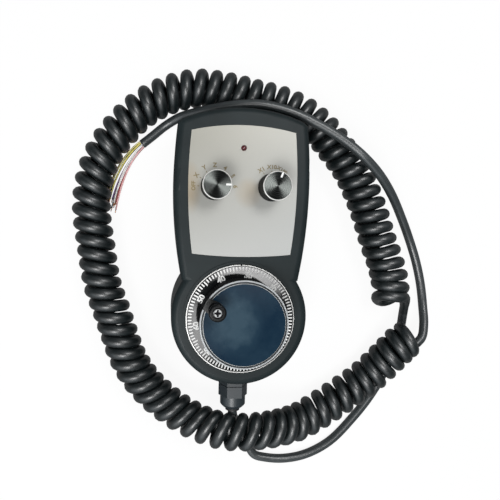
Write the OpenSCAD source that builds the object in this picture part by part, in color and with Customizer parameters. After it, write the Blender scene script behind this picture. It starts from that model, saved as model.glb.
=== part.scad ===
// Handheld pulse generator pendant: 60 mm handwheel, two rotary switches, curly cord.
// Millimetres. The origin is on the handwheel axis, on the back face. +Z faces the user,
// +Y points to the upper end and the cord leaves the lower end along -Y.

/* [Housing] */
// Radius of the round lower end
low_r = 38; // [36:0.5:42]
// Largest half width of the upper part
upper_half_w = 37.7; // [36:0.1:40]
// Bow radius of the two long sides
side_bow_r = 280; // [220:10:600]
// Height on Y of the widest point
widest_y = 74; // [66:1:82]
// Y of the middle of the upper end
top_y = 115.5; // [112:0.5:124]
// Bow radius of the upper end
top_bow_r = 84; // [76:1:160]
// Depth that the upper corners are cut back
corner_cut = 1; // [0.4:0.1:1.6]
// Height of the front face over the back
face_z = 43.5; // [43:0.5:52]
// Height of the parting plane
part_z = 9; // [7:0.5:10]
// Wall thickness of both shells
wall = 3; // [2.6:0.1:3.4]
// Thickness of the front face
face_t = 3.5; // [3:0.25:4]
// Thickness of the back
back_t = 3; // [2.4:0.2:3.6]
// Rounding of the front shoulder
shoulder_r = 3.8; // [2:0.2:4.2]
// Rounding of the back edge
back_edge_r = 2; // [1:0.25:2.5]
// Gap between the rim round the wheel and the bezel
rim_gap = 0.5; // [0.3:0.1:0.8]
// Width of the rim round the wheel
rim_w = 1.2; // [0.8:0.1:1.6]
// Height of the rim over the face
rim_h = 0.7; // [0.4:0.1:1.2]

/* [Shell fastening] */
// Radius of the six screw bosses
boss_r = 3.6; // [3.4:0.1:4]
// Radius of the housing screws
screw_r = 1.5; // [1.3:0.1:1.6]
// Radius of the housing screw heads
screw_head_r = 2.8; // [2.5:0.1:3]
// Height of the housing screw heads
screw_head_h = 2.4; // [1.8:0.2:2.8]
// Depth from the back to the seat of the heads
screw_seat_z = 3.4; // [3.2:0.1:4]
// Outer radius of the threaded inserts
insert_r = 2.2; // [2:0.1:2.4]
// Length of the threaded inserts
insert_l = 5; // [4:0.5:7]
// Height of the gasket
gasket_h = 1; // [0.8:0.1:1.4]
// Width of the gasket
gasket_w = 1.3; // [1:0.1:1.6]
// Height of the locating lip of the back shell
lip_h = 1.5; // [1:0.25:2]
// Thickness of the locating lip
lip_t = 1.2; // [1:0.1:1.5]

/* [Face plate] */
// Largest half width of the plate
plate_half_w = 29.8; // [28:0.2:31]
// Bow radius of the sides of the plate
plate_side_bow_r = 275; // [200:5:500]
// Y of the middle of the upper edge
plate_top_y = 105.4; // [103:0.2:107]
// Bow radius of the upper edge
plate_top_bow_r = 122; // [100:2:300]
// Y of the middle of the lower edge
plate_bottom_y = 34.2; // [33.8:0.2:38]
// Bow radius of the lower edge
plate_bottom_bow_r = 250; // [150:10:400]
// Thickness of the plate
plate_t = 1; // [0.8:0.1:1.5]
// Depth of the recess that holds the plate
plate_recess = 0.8; // [0.6:0.1:1]

/* [Indicator] */
// Y of the indicator
led_y = 93.2; // [90:0.2:95]
// Radius of the indicator lens
led_r = 1.5; // [1.2:0.1:2.4]
// Pitch of the two leads
led_pitch = 2.54; // [2:0.02:2.8]

/* [Rotary switches] */
// Half distance between the two switches
switch_x = 15.6; // [15:0.1:17]
// Y of the two switches
switch_y = 72.3; // [71:0.1:74]
// Radius of the switch bodies
switch_r = 8.2; // [7.5:0.1:9]
// Height of the switch bodies
switch_h = 11; // [9:0.5:12]
// Radius of the threaded bushings
bushing_r = 3.5; // [3.4:0.1:3.8]
// Height of the bushing over the plate
bushing_over = 4.8; // [4:0.2:5]
// Width across the flats of the bushing nuts
bushing_nut_af = 10; // [9:0.5:10.5]
// Thickness of the bushing nuts
bushing_nut_t = 2; // [1.5:0.25:2.5]
// Radius of the switch shafts
switch_shaft_r = 3; // [2.6:0.1:3.1]
// Number of positions of the axis switch
axis_positions = 7; // [4:1:8]
// Number of positions of the scale switch
scale_positions = 3; // [2:1:4]

/* [Knobs] */
// Outer radius of the knobs
knob_r = 7.6; // [7.2:0.1:8.6]
// Height of the knobs
knob_h = 15; // [14:0.5:18]
// Gap between the plate and a knob
knob_gap = 1.3; // [0.8:0.1:2]
// Size of the bevel round the top
knob_bevel = 0.6; // [0.3:0.1:1]
// Depth of the grip grooves
knob_groove = 0.25; // [0.1:0.05:0.4]
// Number of grip grooves
knob_grooves = 48; // [30:2:60]
// Length of the pointer line
pointer_l = 3.1; // [2:0.1:4]
// Width of the pointer line
pointer_w = 0.9; // [0.6:0.1:1.2]
// Angle of the axis pointer from +X at rest
axis_pointer_a = 0; // [0:30:180]
// Angle of the scale pointer from +X at rest
scale_pointer_a = 70; // [60:5:120]

/* [Handwheel] */
// Outer radius of the bezel
bezel_r = 30; // [30:0.5:31]
// Width of the bezel rim
bezel_rim_w = 0.7; // [0.6:0.1:1.2]
// Height of the bezel over the face
bezel_h = 1.5; // [1.4:0.1:2]
// Width of the index notch
index_w = 0.9; // [0.6:0.1:1.2]
// Thickness of the dial
dial_t = 0.8; // [0.6:0.1:0.9]
// Radius of the cap
cap_r = 23.4; // [23:0.1:24.5]
// Height of the cap over the dial
cap_h = 15; // [13:0.5:18]
// Size of the bevel of the cap
cap_bevel = 0.5; // [0.4:0.1:1.2]
// Radius of the disc let into the cap
cap_disc_r = 21.5; // [20:0.1:22.2]
// Thickness of the disc
cap_disc_t = 0.8; // [0.6:0.1:1.2]
// Number of grip grooves round the cap
cap_grooves = 120; // [80:10:140]
// Depth of the grip grooves
cap_groove = 0.35; // [0.2:0.05:0.5]
// Thickness of the wall of the cap
cap_wall = 2; // [1.6:0.2:2.6]
// Thickness of the top of the cap
cap_top_t = 3; // [2.8:0.1:3.6]
// Radius of the hub of the cap
cap_hub_r = 7; // [6:0.5:9]

/* [Crank] */
// Distance of the crank from the wheel axis
crank_at_r = 17.4; // [15:0.2:18]
// Angle of the crank from +X at rest
crank_a = 151; // [0:1:359]
// Largest radius of the crank knob
crank_r = 4.5; // [4:0.1:5.5]
// Waist radius of the crank knob
crank_waist_r = 3.1; // [2.8:0.1:3.6]
// Height of the crank knob
crank_h = 9.6; // [9:0.2:14]
// Thickness of the foot under the crank knob
crank_foot_t = 1.4; // [1:0.1:2]
// Radius of the crank screw
crank_pin_r = 1.6; // [1.4:0.1:1.8]
// Radius of the head of the crank screw
crank_head_r = 2.3; // [2.1:0.1:2.6]
// Height of the head of the crank screw
crank_head_h = 1.2; // [1:0.1:1.4]

/* [Encoder] */
// Outer radius of the encoder body
enc_r = 24; // [23.5:0.1:24.2]
// Depth of the encoder body under the face
enc_depth = 21.5; // [20:0.5:23]
// Thickness of the encoder wall
enc_wall = 3; // [2.4:0.2:3.4]
// Thickness of the top of the encoder body
enc_top_t = 3.5; // [3:0.25:4]
// Radius of the bearing hub
enc_hub_r = 10.5; // [9.8:0.1:12]
// Radius of the encoder shaft
shaft_r = 3; // [2.6:0.1:3.4]
// Outer radius of the two bearings
bearing_r = 8; // [7:0.5:8.5]
// Width of the two bearings
bearing_w = 4; // [3:0.5:4.5]
// Radius of the detent wheel
detent_r = 14; // [12:0.5:14.5]
// Number of clicks in one turn
clicks = 100; // [50:50:100]
// Depth of the detent teeth
detent_tooth = 0.4; // [0.3:0.05:0.5]
// Thickness of the detent wheel
detent_t = 2.6; // [2:0.2:3]
// Radius of the code disc
code_r = 19.5; // [18:0.1:19.6]
// Thickness of the code disc
code_t = 0.6; // [0.4:0.1:0.8]
// Thickness of the circuit boards
board_t = 1.6; // [1:0.2:2]
// Distance of the studs from the wheel axis
stud_at_r = 27.5; // [27.4:0.1:27.8]
// Radius of the studs
stud_r = 1.5; // [1.3:0.1:1.6]
// Width across the flats of the stud nuts
stud_nut_af = 5.5; // [5:0.1:5.6]
// Thickness of the stud nuts
stud_nut_t = 2.4; // [1.8:0.2:2.6]
// Number of terminals
terminals = 6; // [4:1:6]
// Pitch of the terminals
terminal_pitch = 4.6; // [4:0.1:4.8]

/* [Switch board] */
// Width of the switch board
board_w = 54; // [50:1:56]
// Y of the lower edge of the switch board
board_y0 = 57; // [56.6:0.2:58]
// Y of the upper edge of the switch board
board_y1 = 96; // [95.8:0.1:97]
// Gap between the switch bodies and the board
board_gap = 3.4; // [2:0.2:4]
// Radius of the switch pins
pin_r = 0.4; // [0.3:0.05:0.5]

/* [Cable gland] */
// Height of the gland axis over the back
gland_z = 22; // [21:0.5:24]
// Radius of the threaded stem
stem_r = 6.2; // [6:0.1:6.6]
// Width across the flats of the gland
gland_af = 15; // [14:0.5:16]
// Length of the hexagon next to the housing
gland_flange_l = 5; // [4:0.5:6]
// Length of the hexagon of the cap nut
nut_hex_l = 6.6; // [6:0.2:8]
// Length of the round part of the cap nut
nut_round_l = 3.4; // [2:0.2:4]
// Length of the dome of the cap nut
nut_dome_l = 4.4; // [4:0.2:5]
// Length of the seal that shows under the nut
seal_out = 1.3; // [1:0.1:1.6]

/* [Cord] */
// Diameter of the straight cord
cord_d = 5.5; // [5:0.1:5.6]
// Diameter of one core
core_d = 1; // [0.8:0.1:1.05]

/* [Clearances] */
// Radial clearance of a fixed seat
seat = 0.02; // [0.01:0.01:0.04]
// Radial clearance of a turning fit
run = 0.05; // [0.02:0.01:0.08]
// Radial clearance round a screw or a stem
hole_gap = 0.1; // [0.05:0.05:0.15]
// Gap between parts that pass each other
pass = 0.25; // [0.2:0.05:0.3]

/* [Hidden] */
$fn = 96;
eps = 0.02;
// Depth that a grooved band lies under the plain bands next to it
groove_in = 0.04;

// Heights
inner_z = face_z - face_t;
plate_z = face_z - plate_recess;
plate_top_z = plate_z + plate_t;
knob_z = plate_top_z + knob_gap;
knob_top_z = knob_z + knob_h;
bushing_top_z = plate_top_z + bushing_over;
knob_roof_z = bushing_top_z + 1.2;
shaft_top_z = knob_top_z - 3;
grub_z = (knob_roof_z + shaft_top_z) / 2;
switch_z = inner_z - switch_h;
board_top_z = switch_z - board_gap;
board_z = board_top_z - board_t;
bezel_top_z = face_z + bezel_h;
dial_z = bezel_top_z - dial_t;
bezel_base_t = dial_z - pass - face_z;
cap_top_z = bezel_top_z + cap_h;
cap_roof_z = cap_top_z - cap_top_t;
enc_z = face_z - enc_depth;
enc_top_z = face_z - 0.5;
collar_z = enc_top_z + pass;
front_bearing_z = enc_top_z - 0.5 - bearing_w;
hub_z = enc_z + 9;
rear_bearing_z = hub_z + 0.5;
detent_z = hub_z - pass - detent_t;
code_hub_h = 2.4;
code_z = detent_z - 1.6;
enc_pcb_top_z = enc_z + board_t;
shaft_z = code_z - 0.9;
foot_top_z = cap_top_z + crank_foot_t;
crank_z = foot_top_z + 0.2;
crank_top_z = crank_z + crank_h;
crank_seat_z = crank_top_z - crank_head_h - 0.4;

// Radii and places
dial_r = bezel_r - bezel_rim_w - 0.2;
cap_hollow_r = cap_r - cap_groove - cap_wall;
grub_r = 1.5;
corner_y = 65;
corner_x = upper_half_w - 1.9;
corner_top = top_y - pow(corner_x, 2) / (2 * top_bow_r);
corner_r = norm([corner_x, corner_top - corner_y]) - corner_cut;
boss_inset = wall + boss_r - 1;
low_screw_r = low_r - wall - boss_r;
low_screw_a = -35;
screw_at = [
    side_point(top_y - 15.5, boss_inset + 0.6), side_point(widest_y - 22, boss_inset),
    low_screw_r * [cos(low_screw_a), sin(low_screw_a)]
];
standoff_x = 24;
standoff_y = [60, 93];
standoff_r = 2.6;
board_screw_r = 1.2;
board_screw_l = 6;
stud_angles = [30, 150, 270];
crank_x = crank_at_r * cos(crank_a);
crank_y = crank_at_r * sin(crank_a);
terminal_y = -14;
terminal_d = 8;
terminal_h = 9;

// Distances from the wheel axis along the gland
pad_in = low_r - wall - 2;
pad_out = low_r + 0.6;
pad_r = 9.5;
stem_in = pad_in - 3.5;
washer_t = 0.8;
locknut_t = 2.2;
flange_out = pad_out + gland_flange_l;
nut_in = flange_out + 0.4;
nut_hex_out = nut_in + nut_hex_l;
nut_round_out = nut_hex_out + nut_round_l;
nut_out = nut_round_out + nut_dome_l;
seal_end = nut_out + seal_out;
thread_out = nut_hex_out - 0.6;
thread_r = 5.8;
nut_bore_r = thread_r + hole_gap;
nut_mouth_r = 4.3;
seal_r = 4.2;
cable_in = enc_r + 2;

// Routes of the cord
coil_d = 23;
// Each point is [x, y, z, height of the section]; the stretch over the tail is squashed
coil_route = [
    [112.5, -17.5, 17.5, 23], [108.5, -19, 17.5, 23], [103, -24.5, 17.2, 23], [95, -35.5, 13.5, 23],
    [84.5, -46.5, 11.5, 23], [71, -56, 11.5, 23], [59, -64, 11.5, 23], [43.5, -71.5, 14, 22],
    [31, -73, 18.5, 20], [18, -72.8, 23.5, 17], [4, -72.2, 26.5, 15], [-8, -72, 23.5, 17],
    [-20, -70, 17.5, 20], [-36, -62.4, 12.5, 22], [-54, -46, 11.5, 23], [-63, -32, 11.5, 23],
    [-69, -16, 11.5, 23], [-74, -1, 11.5, 23], [-79, 13, 11.5, 23], [-83, 36, 11.5, 23],
    [-86, 61, 11.5, 23], [-84, 78, 11.5, 23], [-79, 92, 11.5, 23], [-70, 105.5, 11.5, 23],
    [-59, 117, 11.5, 23], [-44, 126.5, 11.5, 23], [-26, 132, 11.5, 23], [-6, 131, 11.5, 23],
    [9, 128, 11.5, 23], [25, 124.8, 11.5, 23], [39.5, 119.3, 11.5, 23], [52.3, 110, 11.5, 23],
    [62.5, 99, 11.5, 23], [72, 87, 11.5, 23], [79, 74, 11.5, 23], [85, 60, 11.5, 23],
    [91, 43, 11.5, 23], [97, 28, 11.5, 23], [100.5, 14, 11.5, 23], [100.5, 7, 11.5, 23]
];
tail_route = [
    [0, -seal_end, gland_z], [0, -seal_end - 1.2, gland_z], [0.4, -63.2, 20.9], [0.9, -65.4, 18.7],
    [1.5, -67.3, 15.4], [2.1, -68.8, 12], [3, -70.7, 8.6], [4.4, -73.8, 5.6], [7, -79, 3.4],
    [10.5, -86, 2.8], [14.5, -94, 2.8], [18, -98.4, 2.8], [24, -100.2, 2.8], [37, -101.3, 2.8],
    [52, -98.6, 2.8], [67.5, -90.4, 2.8], [82.5, -75, 2.8], [93.5, -60.7, 2.8], [102, -46, 2.8],
    [110, -26, 2.8], [113, -13, 3.2], [112.5, -5, 6], [110, 1, 10], [109, 4, 11], [109, 7, 11]
];
lead_route = [
    [114.75, -23.5, 13.5], [118.75, -22, 13.5], [122.5, -18.5, 12.3], [125, -11, 9.5],
    [126.3, 0, 5], [125, 15, 3], [121.5, 29, 2.8], [116.2, 43, 3.4], [107, 58.8, 8.4], [96.4, 72, 16.4],
    [85, 83.2, 23.6], [74.6, 92.2, 26.6], [66, 99, 26.6], [55, 106, 26.6], [45, 111, 26.6],
    [35, 115.4, 26.6], [25, 118.6, 26.2], [11.5, 121, 25.4], [-2, 120.6, 23.6],
    [-15.3, 118.8, 19.6], [-26, 117.4, 13.4], [-34.5, 115.6, 7.4], [-43, 111, 3.4],
    [-51, 104.4, 2.8], [-57, 99.5, 2.8]
];
core_columns = 4;
core_layers = 3;
core_pitch = 1.15;
core_steps = 6;
// Middle line of the cores: start, bend and tip, each with its direction across
core_line = [[-57.2, 99.3], [-70, 88], [-75, 62.5]];
core_across = [[-0.63, 0.77], [-0.9, 0.6], [-1.4, 0.3]];

// ---------------------------------------------------------------- shared shapes

// A ring or, with hole = 0, a disc
module ring(r, hole, z0, z1) {
    translate([0, 0, z0])
        difference() {
            cylinder(r = r, h = z1 - z0);
            if (hole > 0) translate([0, 0, -eps]) cylinder(r = hole, h = z1 - z0 + 2 * eps);
        }
}

// A disc whose top or bottom edge is rounded
module soft_disc(r, z0, z1, top, bottom) {
    edge = max(top, bottom);
    edge_z = top > 0 ? z1 - z0 - top : bottom;
    rotate_extrude($fn = 180)
        translate([0, z0])
            union() {
                translate([0, bottom]) square([r, z1 - z0 - edge]);
                square([r - edge, z1 - z0]);
                translate([r - edge, edge_z]) circle(r = edge, $fn = 48);
            }
}

// Point at height y inside the right side of the upper part
function side_point(y, inset) =
    [upper_half_w - side_bow_r + sqrt(pow(side_bow_r, 2) - pow(y - widest_y, 2)) - inset, y];

// Plan of the housing, set in by the given distance
module plan(inset) {
    circle(r = low_r - inset, $fn = 180);
    intersection() {
        for_sides() translate([upper_half_w - side_bow_r, widest_y]) circle(r = side_bow_r - inset, $fn = 360);
        translate([0, top_y - top_bow_r]) circle(r = top_bow_r - inset, $fn = 360);
        translate([0, corner_y]) circle(r = corner_r - inset, $fn = 360);
        translate([-upper_half_w, 0]) square([2 * upper_half_w, top_y]);
    }
}

// Common area of a shape and its mirror image in X
module for_sides() {
    intersection() {
        children();
        mirror([1, 0, 0]) children();
    }
}

// The housing's outer form between two heights
module body_form(z0, z1, top, bottom) {
    soft_disc(low_r, z0, z1, top, bottom);
    intersection() {
        for_sides() translate([upper_half_w - side_bow_r, widest_y, 0]) soft_disc(side_bow_r, z0, z1, top, bottom);
        translate([0, top_y - top_bow_r, 0]) soft_disc(top_bow_r, z0, z1, top, bottom);
        translate([0, corner_y, 0]) soft_disc(corner_r, z0, z1, top, bottom);
        translate([-upper_half_w, 0, z0]) cube([2 * upper_half_w, top_y, z1 - z0]);
    }
}

// A straight prism on the housing's plan
module plan_prism(inset, z0, z1) {
    translate([0, 0, z0]) linear_extrude(z1 - z0) plan(inset);
}

// Plan of the face plate, grown by the given distance
module plate_plan(grow) {
    intersection() {
        for_sides()
            translate([plate_half_w - plate_side_bow_r, widest_y])
                circle(r = plate_side_bow_r + grow, $fn = 360);
        translate([0, plate_top_y - plate_top_bow_r]) circle(r = plate_top_bow_r + grow, $fn = 360);
        translate([0, plate_bottom_y + plate_bottom_bow_r]) circle(r = plate_bottom_bow_r + grow, $fn = 360);
    }
}

// Copies at the six housing screws
module at_screws() {
    for (side = [0, 1])
        mirror([side, 0, 0])
            for (p = screw_at) translate([p[0], p[1], 0]) children();
}

// Copies at the four corners of the switch board
module at_standoffs() {
    for (x = [-standoff_x, standoff_x], y = standoff_y) translate([x, y, 0]) children();
}

// Copies at the three studs of the encoder
module at_studs() {
    for (a = stud_angles) rotate(a) translate([stud_at_r, 0, 0]) children();
}

// Moves a shape to a switch: side is -1 for the axis switch and 1 for the scale switch
module at_switch(side) {
    translate([side * switch_x, switch_y, 0]) children();
}

// Turns +Z into the direction in which the cord leaves the housing
module along_gland() {
    translate([0, 0, gland_z]) rotate([90, 0, 0]) children();
}

// A grooved cylinder, with one groove and one land for each count
module grooved(r, depth, count, z0, z1) {
    step = 360 / count;
    points = [
        for (i = [0 : count - 1], k = [0 : 3])
            let (a = (i + [0, 0.5, 0.62, 0.88][k]) * step, rr = k < 2 ? r : r - depth)
                [rr * cos(a), rr * sin(a)]
    ];
    translate([0, 0, z0]) linear_extrude(z1 - z0) polygon(points);
}

// A toothed disc with one notch for each click
module toothed(r, depth, count, z0, z1) {
    step = 360 / count;
    points = [
        for (i = [0 : count - 1], k = [0, 1])
            let (a = (i + k / 2) * step, rr = k == 0 ? r - depth : r)
                [rr * cos(a), rr * sin(a)]
    ];
    translate([0, 0, z0]) linear_extrude(z1 - z0) polygon(points);
}

// A hexagon prism with its corners on +X and -X
module hexagon(af, z0, z1) {
    translate([0, 0, z0]) cylinder(r = af / sqrt(3), h = z1 - z0, $fn = 6);
}

// ---------------------------------------------------------------- shells

module gasket_plan(gap) {
    middle = wall / 2;
    difference() {
        plan(middle - gasket_w / 2 - gap);
        plan(middle + gasket_w / 2 + gap);
    }
}

module front_shell() {
    color("#2c3133")
    difference() {
        union() {
            difference() {
                body_form(part_z, face_z, shoulder_r, 0);
                plan_prism(wall, part_z - eps, inner_z);
            }
            at_screws() ring(boss_r, 0, part_z, inner_z + eps);
            at_standoffs() ring(standoff_r, 0, board_top_z, inner_z + eps);
            ring(bezel_r + rim_gap + rim_w, bezel_r + rim_gap, face_z - eps, face_z + rim_h);
            along_gland() ring(pad_r, 0, pad_in, pad_out);
        }
        translate([0, 0, part_z - eps]) linear_extrude(gasket_h + eps) gasket_plan(0.05);
        translate([0, 0, plate_z]) linear_extrude(plate_recess + eps) plate_plan(hole_gap);
        ring(enc_r + pass, 0, inner_z - eps, face_z + eps);
        at_studs() ring(stud_r + hole_gap, 0, inner_z - eps, face_z + eps);
        for (side = [-1, 1]) at_switch(side) ring(bushing_r + hole_gap, 0, inner_z - eps, face_z);
        translate([0, led_y, 0]) ring(led_r + hole_gap, 0, inner_z - eps, face_z);
        at_screws() ring(insert_r + seat, 0, part_z - eps, part_z + insert_l);
        at_screws() ring(screw_r + hole_gap, 0, part_z, part_z + insert_l + 3);
        at_standoffs() ring(board_screw_r + seat, 0, board_top_z - eps, board_top_z + board_screw_l);
        along_gland() ring(stem_r + hole_gap, 0, pad_in - eps, pad_out + eps);
    }
}

module rear_shell() {
    color("#272b2d")
    difference() {
        union() {
            difference() {
                body_form(0, part_z, 0, back_edge_r);
                plan_prism(wall, back_t, part_z + eps);
            }
            difference() {
                plan_prism(wall + hole_gap, back_t - eps, part_z + lip_h);
                plan_prism(wall + hole_gap + lip_t, back_t - 2 * eps, part_z + lip_h + eps);
                at_screws() ring(boss_r + pass, 0, part_z, part_z + lip_h + eps);
            }
            at_screws() ring(boss_r, 0, back_t - eps, part_z);
        }
        at_screws() ring(screw_r + hole_gap, 0, -eps, part_z + eps);
        at_screws() ring(screw_head_r + pass, 0, -eps, screw_seat_z);
    }
}

module shell_gasket() {
    color("#1a1a1a") translate([0, 0, part_z]) linear_extrude(gasket_h) gasket_plan(0);
}

module housing_screws() {
    color("#9a9da0")
    at_screws()
        difference() {
            union() {
                ring(screw_head_r, 0, screw_seat_z - screw_head_h, screw_seat_z);
                ring(screw_r, 0, screw_seat_z - eps, part_z + insert_l);
            }
            translate([0, 0, screw_seat_z - screw_head_h / 2]) cross_recess(screw_head_r * 1.3, screw_head_h);
        }
}

// A cross for the head of a screw that faces -Z
module cross_recess(w, h, arm = 0.6) {
    for (a = [0, 90]) rotate(a) translate([-w / 2, -arm / 2, -h]) cube([w, arm, h]);
}

module threaded_inserts() {
    color("#b8912f") at_screws() ring(insert_r, screw_r + seat, part_z, part_z + insert_l);
}

// ---------------------------------------------------------------- face plate and indicator

module face_plate() {
    color("#bdbab0")
    difference() {
        translate([0, 0, plate_z]) linear_extrude(plate_t) plate_plan(0);
        for (side = [-1, 1]) at_switch(side) ring(bushing_r + hole_gap, 0, plate_z - eps, plate_top_z + eps);
        translate([0, led_y, 0]) ring(led_r + hole_gap, 0, plate_z - eps, plate_top_z + eps);
    }
}

module led_lens() {
    color("#6b1418")
    translate([0, led_y, 0]) {
        ring(led_r, 0, inner_z - 1, plate_top_z);
        intersection() {
            translate([0, 0, plate_top_z]) sphere(r = led_r);
            ring(led_r, 0, plate_top_z - eps, plate_top_z + led_r);
        }
        ring(led_r + 0.4, 0, inner_z - 2, inner_z - 0.3);
    }
}

module led_leads() {
    color("silver")
    for (side = [-1, 1])
        translate([side * led_pitch / 2, led_y, 0]) ring(0.25, 0, board_top_z, inner_z - 2);
}

// ---------------------------------------------------------------- switches

module switch_board() {
    color("#1f5a3a")
    difference() {
        translate([-board_w / 2, board_y0, board_z]) cube([board_w, board_y1 - board_y0, board_t]);
        at_standoffs() ring(board_screw_r + hole_gap, 0, board_z - eps, board_top_z + eps);
        at_pins() ring(pin_r + seat, 0, board_z - eps, board_top_z + eps);
    }
}

module board_screws() {
    color("silver")
    at_standoffs() {
        ring(board_screw_r * 1.8, 0, board_z - 1.4, board_z);
        ring(board_screw_r, 0, board_z - eps, board_top_z + board_screw_l - 0.5);
    }
}

// Copies at the pins of both switches
module at_pins() {
    pin_at_r = switch_r - 2.2;
    for (s = [[-1, axis_positions + 1], [1, scale_positions + 1]])
        at_switch(s[0])
            for (i = [0 : s[1] - 1]) rotate(i * 360 / s[1]) translate([pin_at_r, 0, 0]) children();
}

module switch_pins() {
    color("gold") at_pins() ring(pin_r, 0, board_z - 1.2, switch_z);
}

module switch_body(side) {
    color("#20242a")
    at_switch(side)
        difference() {
            union() {
                ring(switch_r, 0, switch_z, inner_z);
                translate([-switch_r, -switch_r, inner_z - 2]) cube([2 * switch_r, 2 * switch_r, 2]);
            }
            ring(switch_shaft_r + run, 0, switch_z + 1, inner_z + eps);
        }
}

module switch_bushing(side) {
    color("#b9bcbf") at_switch(side) ring(bushing_r, switch_shaft_r + run, inner_z, bushing_top_z);
}

module switch_nut(side) {
    color("#c8cacc")
    at_switch(side)
        difference() {
            hexagon(bushing_nut_af, plate_top_z, plate_top_z + bushing_nut_t);
            ring(bushing_r + seat, 0, plate_top_z - eps, plate_top_z + bushing_nut_t + eps);
        }
}

// The shaft has a flat for the grub screw, on the side away from the pointer
module switch_shaft(side, angle) {
    color("#d0d2d4")
    at_switch(side) rotate(angle)
        difference() {
            ring(switch_shaft_r, 0, switch_z + 1 + pass, shaft_top_z);
            translate([-switch_shaft_r - 1, -switch_shaft_r, knob_roof_z])
                cube([1.5, 2 * switch_shaft_r, shaft_top_z]);
        }
}

module knob_form() {
    grip_z = knob_z + 1.2;
    grip_top = knob_top_z - 2.4;
    ring(knob_r, 0, knob_z, grip_z + eps);
    grooved(knob_r - groove_in, knob_groove, knob_grooves, grip_z, grip_top);
    ring(knob_r, 0, grip_top - eps, knob_top_z - knob_bevel);
    translate([0, 0, knob_top_z - knob_bevel]) cylinder(r1 = knob_r, r2 = knob_r - knob_bevel, h = knob_bevel);
}

module pointer_slot() {
    depth = 0.4;
    translate([knob_r - pointer_l, -pointer_w / 2, knob_top_z - knob_bevel - depth])
        cube([pointer_l + 1, pointer_w, knob_bevel + depth + 1]);
}

module switch_knob(side, angle) {
    color("#3a3d40")
    at_switch(side) rotate(angle)
        difference() {
            knob_form();
            ring(bushing_nut_af / sqrt(3) + 0.5, 0, knob_z - eps, knob_roof_z);
            ring(switch_shaft_r + seat, 0, knob_z, shaft_top_z + pass);
            pointer_slot();
            translate([0, 0, grub_z]) rotate([0, -90, 0]) ring(grub_r + seat, 0, 0, knob_r + 1);
        }
}

module knob_pointer(side, angle) {
    color("white")
    at_switch(side) rotate(angle)
        intersection() {
            knob_form();
            pointer_slot();
        }
}

module knob_grub(side, angle) {
    color("#303030")
    at_switch(side) rotate(angle) translate([0, 0, grub_z]) rotate([0, -90, 0])
        difference() {
            ring(grub_r, 0, switch_shaft_r - 0.4, knob_r - knob_groove - 0.5);
            hexagon(1.4, knob_r - 2.5, knob_r);
        }
}

module axis_switch_body() { switch_body(-1); }
module axis_switch_bushing() { switch_bushing(-1); }
module axis_switch_nut() { switch_nut(-1); }
module axis_shaft() { switch_shaft(-1, axis_pointer_a); }
module axis_knob() { switch_knob(-1, axis_pointer_a); }
module axis_knob_pointer() { knob_pointer(-1, axis_pointer_a); }
module axis_knob_grub() { knob_grub(-1, axis_pointer_a); }
module scale_switch_body() { switch_body(1); }
module scale_switch_bushing() { switch_bushing(1); }
module scale_switch_nut() { switch_nut(1); }
module scale_shaft() { switch_shaft(1, scale_pointer_a); }
module scale_knob() { switch_knob(1, scale_pointer_a); }
module scale_knob_pointer() { knob_pointer(1, scale_pointer_a); }
module scale_knob_grub() { knob_grub(1, scale_pointer_a); }

// ---------------------------------------------------------------- encoder, fixed pieces

module bezel_ring() {
    color("#d9dadb")
    difference() {
        union() {
            ring(bezel_r, enc_r - enc_wall, face_z, face_z + bezel_base_t);
            ring(bezel_r, bezel_r - bezel_rim_w, face_z, bezel_top_z);
        }
        translate([-index_w / 2, bezel_r - bezel_rim_w - 1, bezel_top_z - 0.5]) cube([index_w, 3, 1]);
    }
}

module encoder_body() {
    color("#3b3f42")
    difference() {
        union() {
            ring(enc_r, enc_r - enc_wall, enc_z, face_z);
            ring(enc_r - 1, 0, enc_top_z - enc_top_t, enc_top_z);
            ring(enc_hub_r, 0, hub_z, enc_top_z);
        }
        ring(bearing_r + seat, 0, front_bearing_z, enc_top_z + eps);
        ring(bearing_r + seat, 0, hub_z - eps, rear_bearing_z + bearing_w);
        ring(bearing_r - 2, 0, hub_z, enc_top_z);
        ring(enc_r - enc_wall + 1, 0, enc_z - eps, enc_pcb_top_z);
    }
}

module encoder_studs() {
    color("silver") at_studs() ring(stud_r, 0, inner_z - stud_nut_t - 2, face_z);
}

module encoder_nuts() {
    color("silver")
    at_studs()
        difference() {
            hexagon(stud_nut_af, inner_z - stud_nut_t, inner_z);
            ring(stud_r + seat, 0, inner_z - stud_nut_t - eps, inner_z + eps);
        }
}

// One bearing, with the groove between its rings on both faces
module bearing(z) {
    groove_in = shaft_r + 1.3;
    groove_out = bearing_r - 1.3;
    difference() {
        ring(bearing_r, shaft_r + run, z, z + bearing_w);
        ring(groove_out, groove_in, z - eps, z + 0.5);
        ring(groove_out, groove_in, z + bearing_w - 0.5, z + bearing_w + eps);
    }
}

module front_bearing() { color("#a9adb1") bearing(front_bearing_z); }
module rear_bearing() { color("#a9adb1") bearing(rear_bearing_z); }

module encoder_pcb() {
    color("#1f5a3a") ring(enc_r - enc_wall + 1 - seat, 4, enc_z, enc_pcb_top_z);
}

module optical_head() {
    color("#151515")
    difference() {
        translate([-enc_r + enc_wall + 0.4, -4, enc_pcb_top_z]) cube([5, 8, detent_z - enc_pcb_top_z + 1]);
        translate([-code_r - pass, -5, code_z - pass]) cube([code_r, 10, code_t + 2 * pass]);
    }
}

// A leaf spring whose nib rides on the teeth of the detent wheel
module detent_spring() {
    leaf_t = 0.6;
    nib = detent_r + 0.1;
    back = enc_r - enc_wall - 4.9;
    color("#c9ccd0")
    translate([0, 0, detent_z])
        linear_extrude(detent_t - 0.4)
            polygon([
                [nib, 0], [back, 1.4], [back, 9], [back + 2.8, 9], [back + 2.8, 6.5],
                [back + leaf_t, 6.5], [back + leaf_t, -2.5], [back, -2.5], [back, -1.4]
            ]);
}

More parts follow.
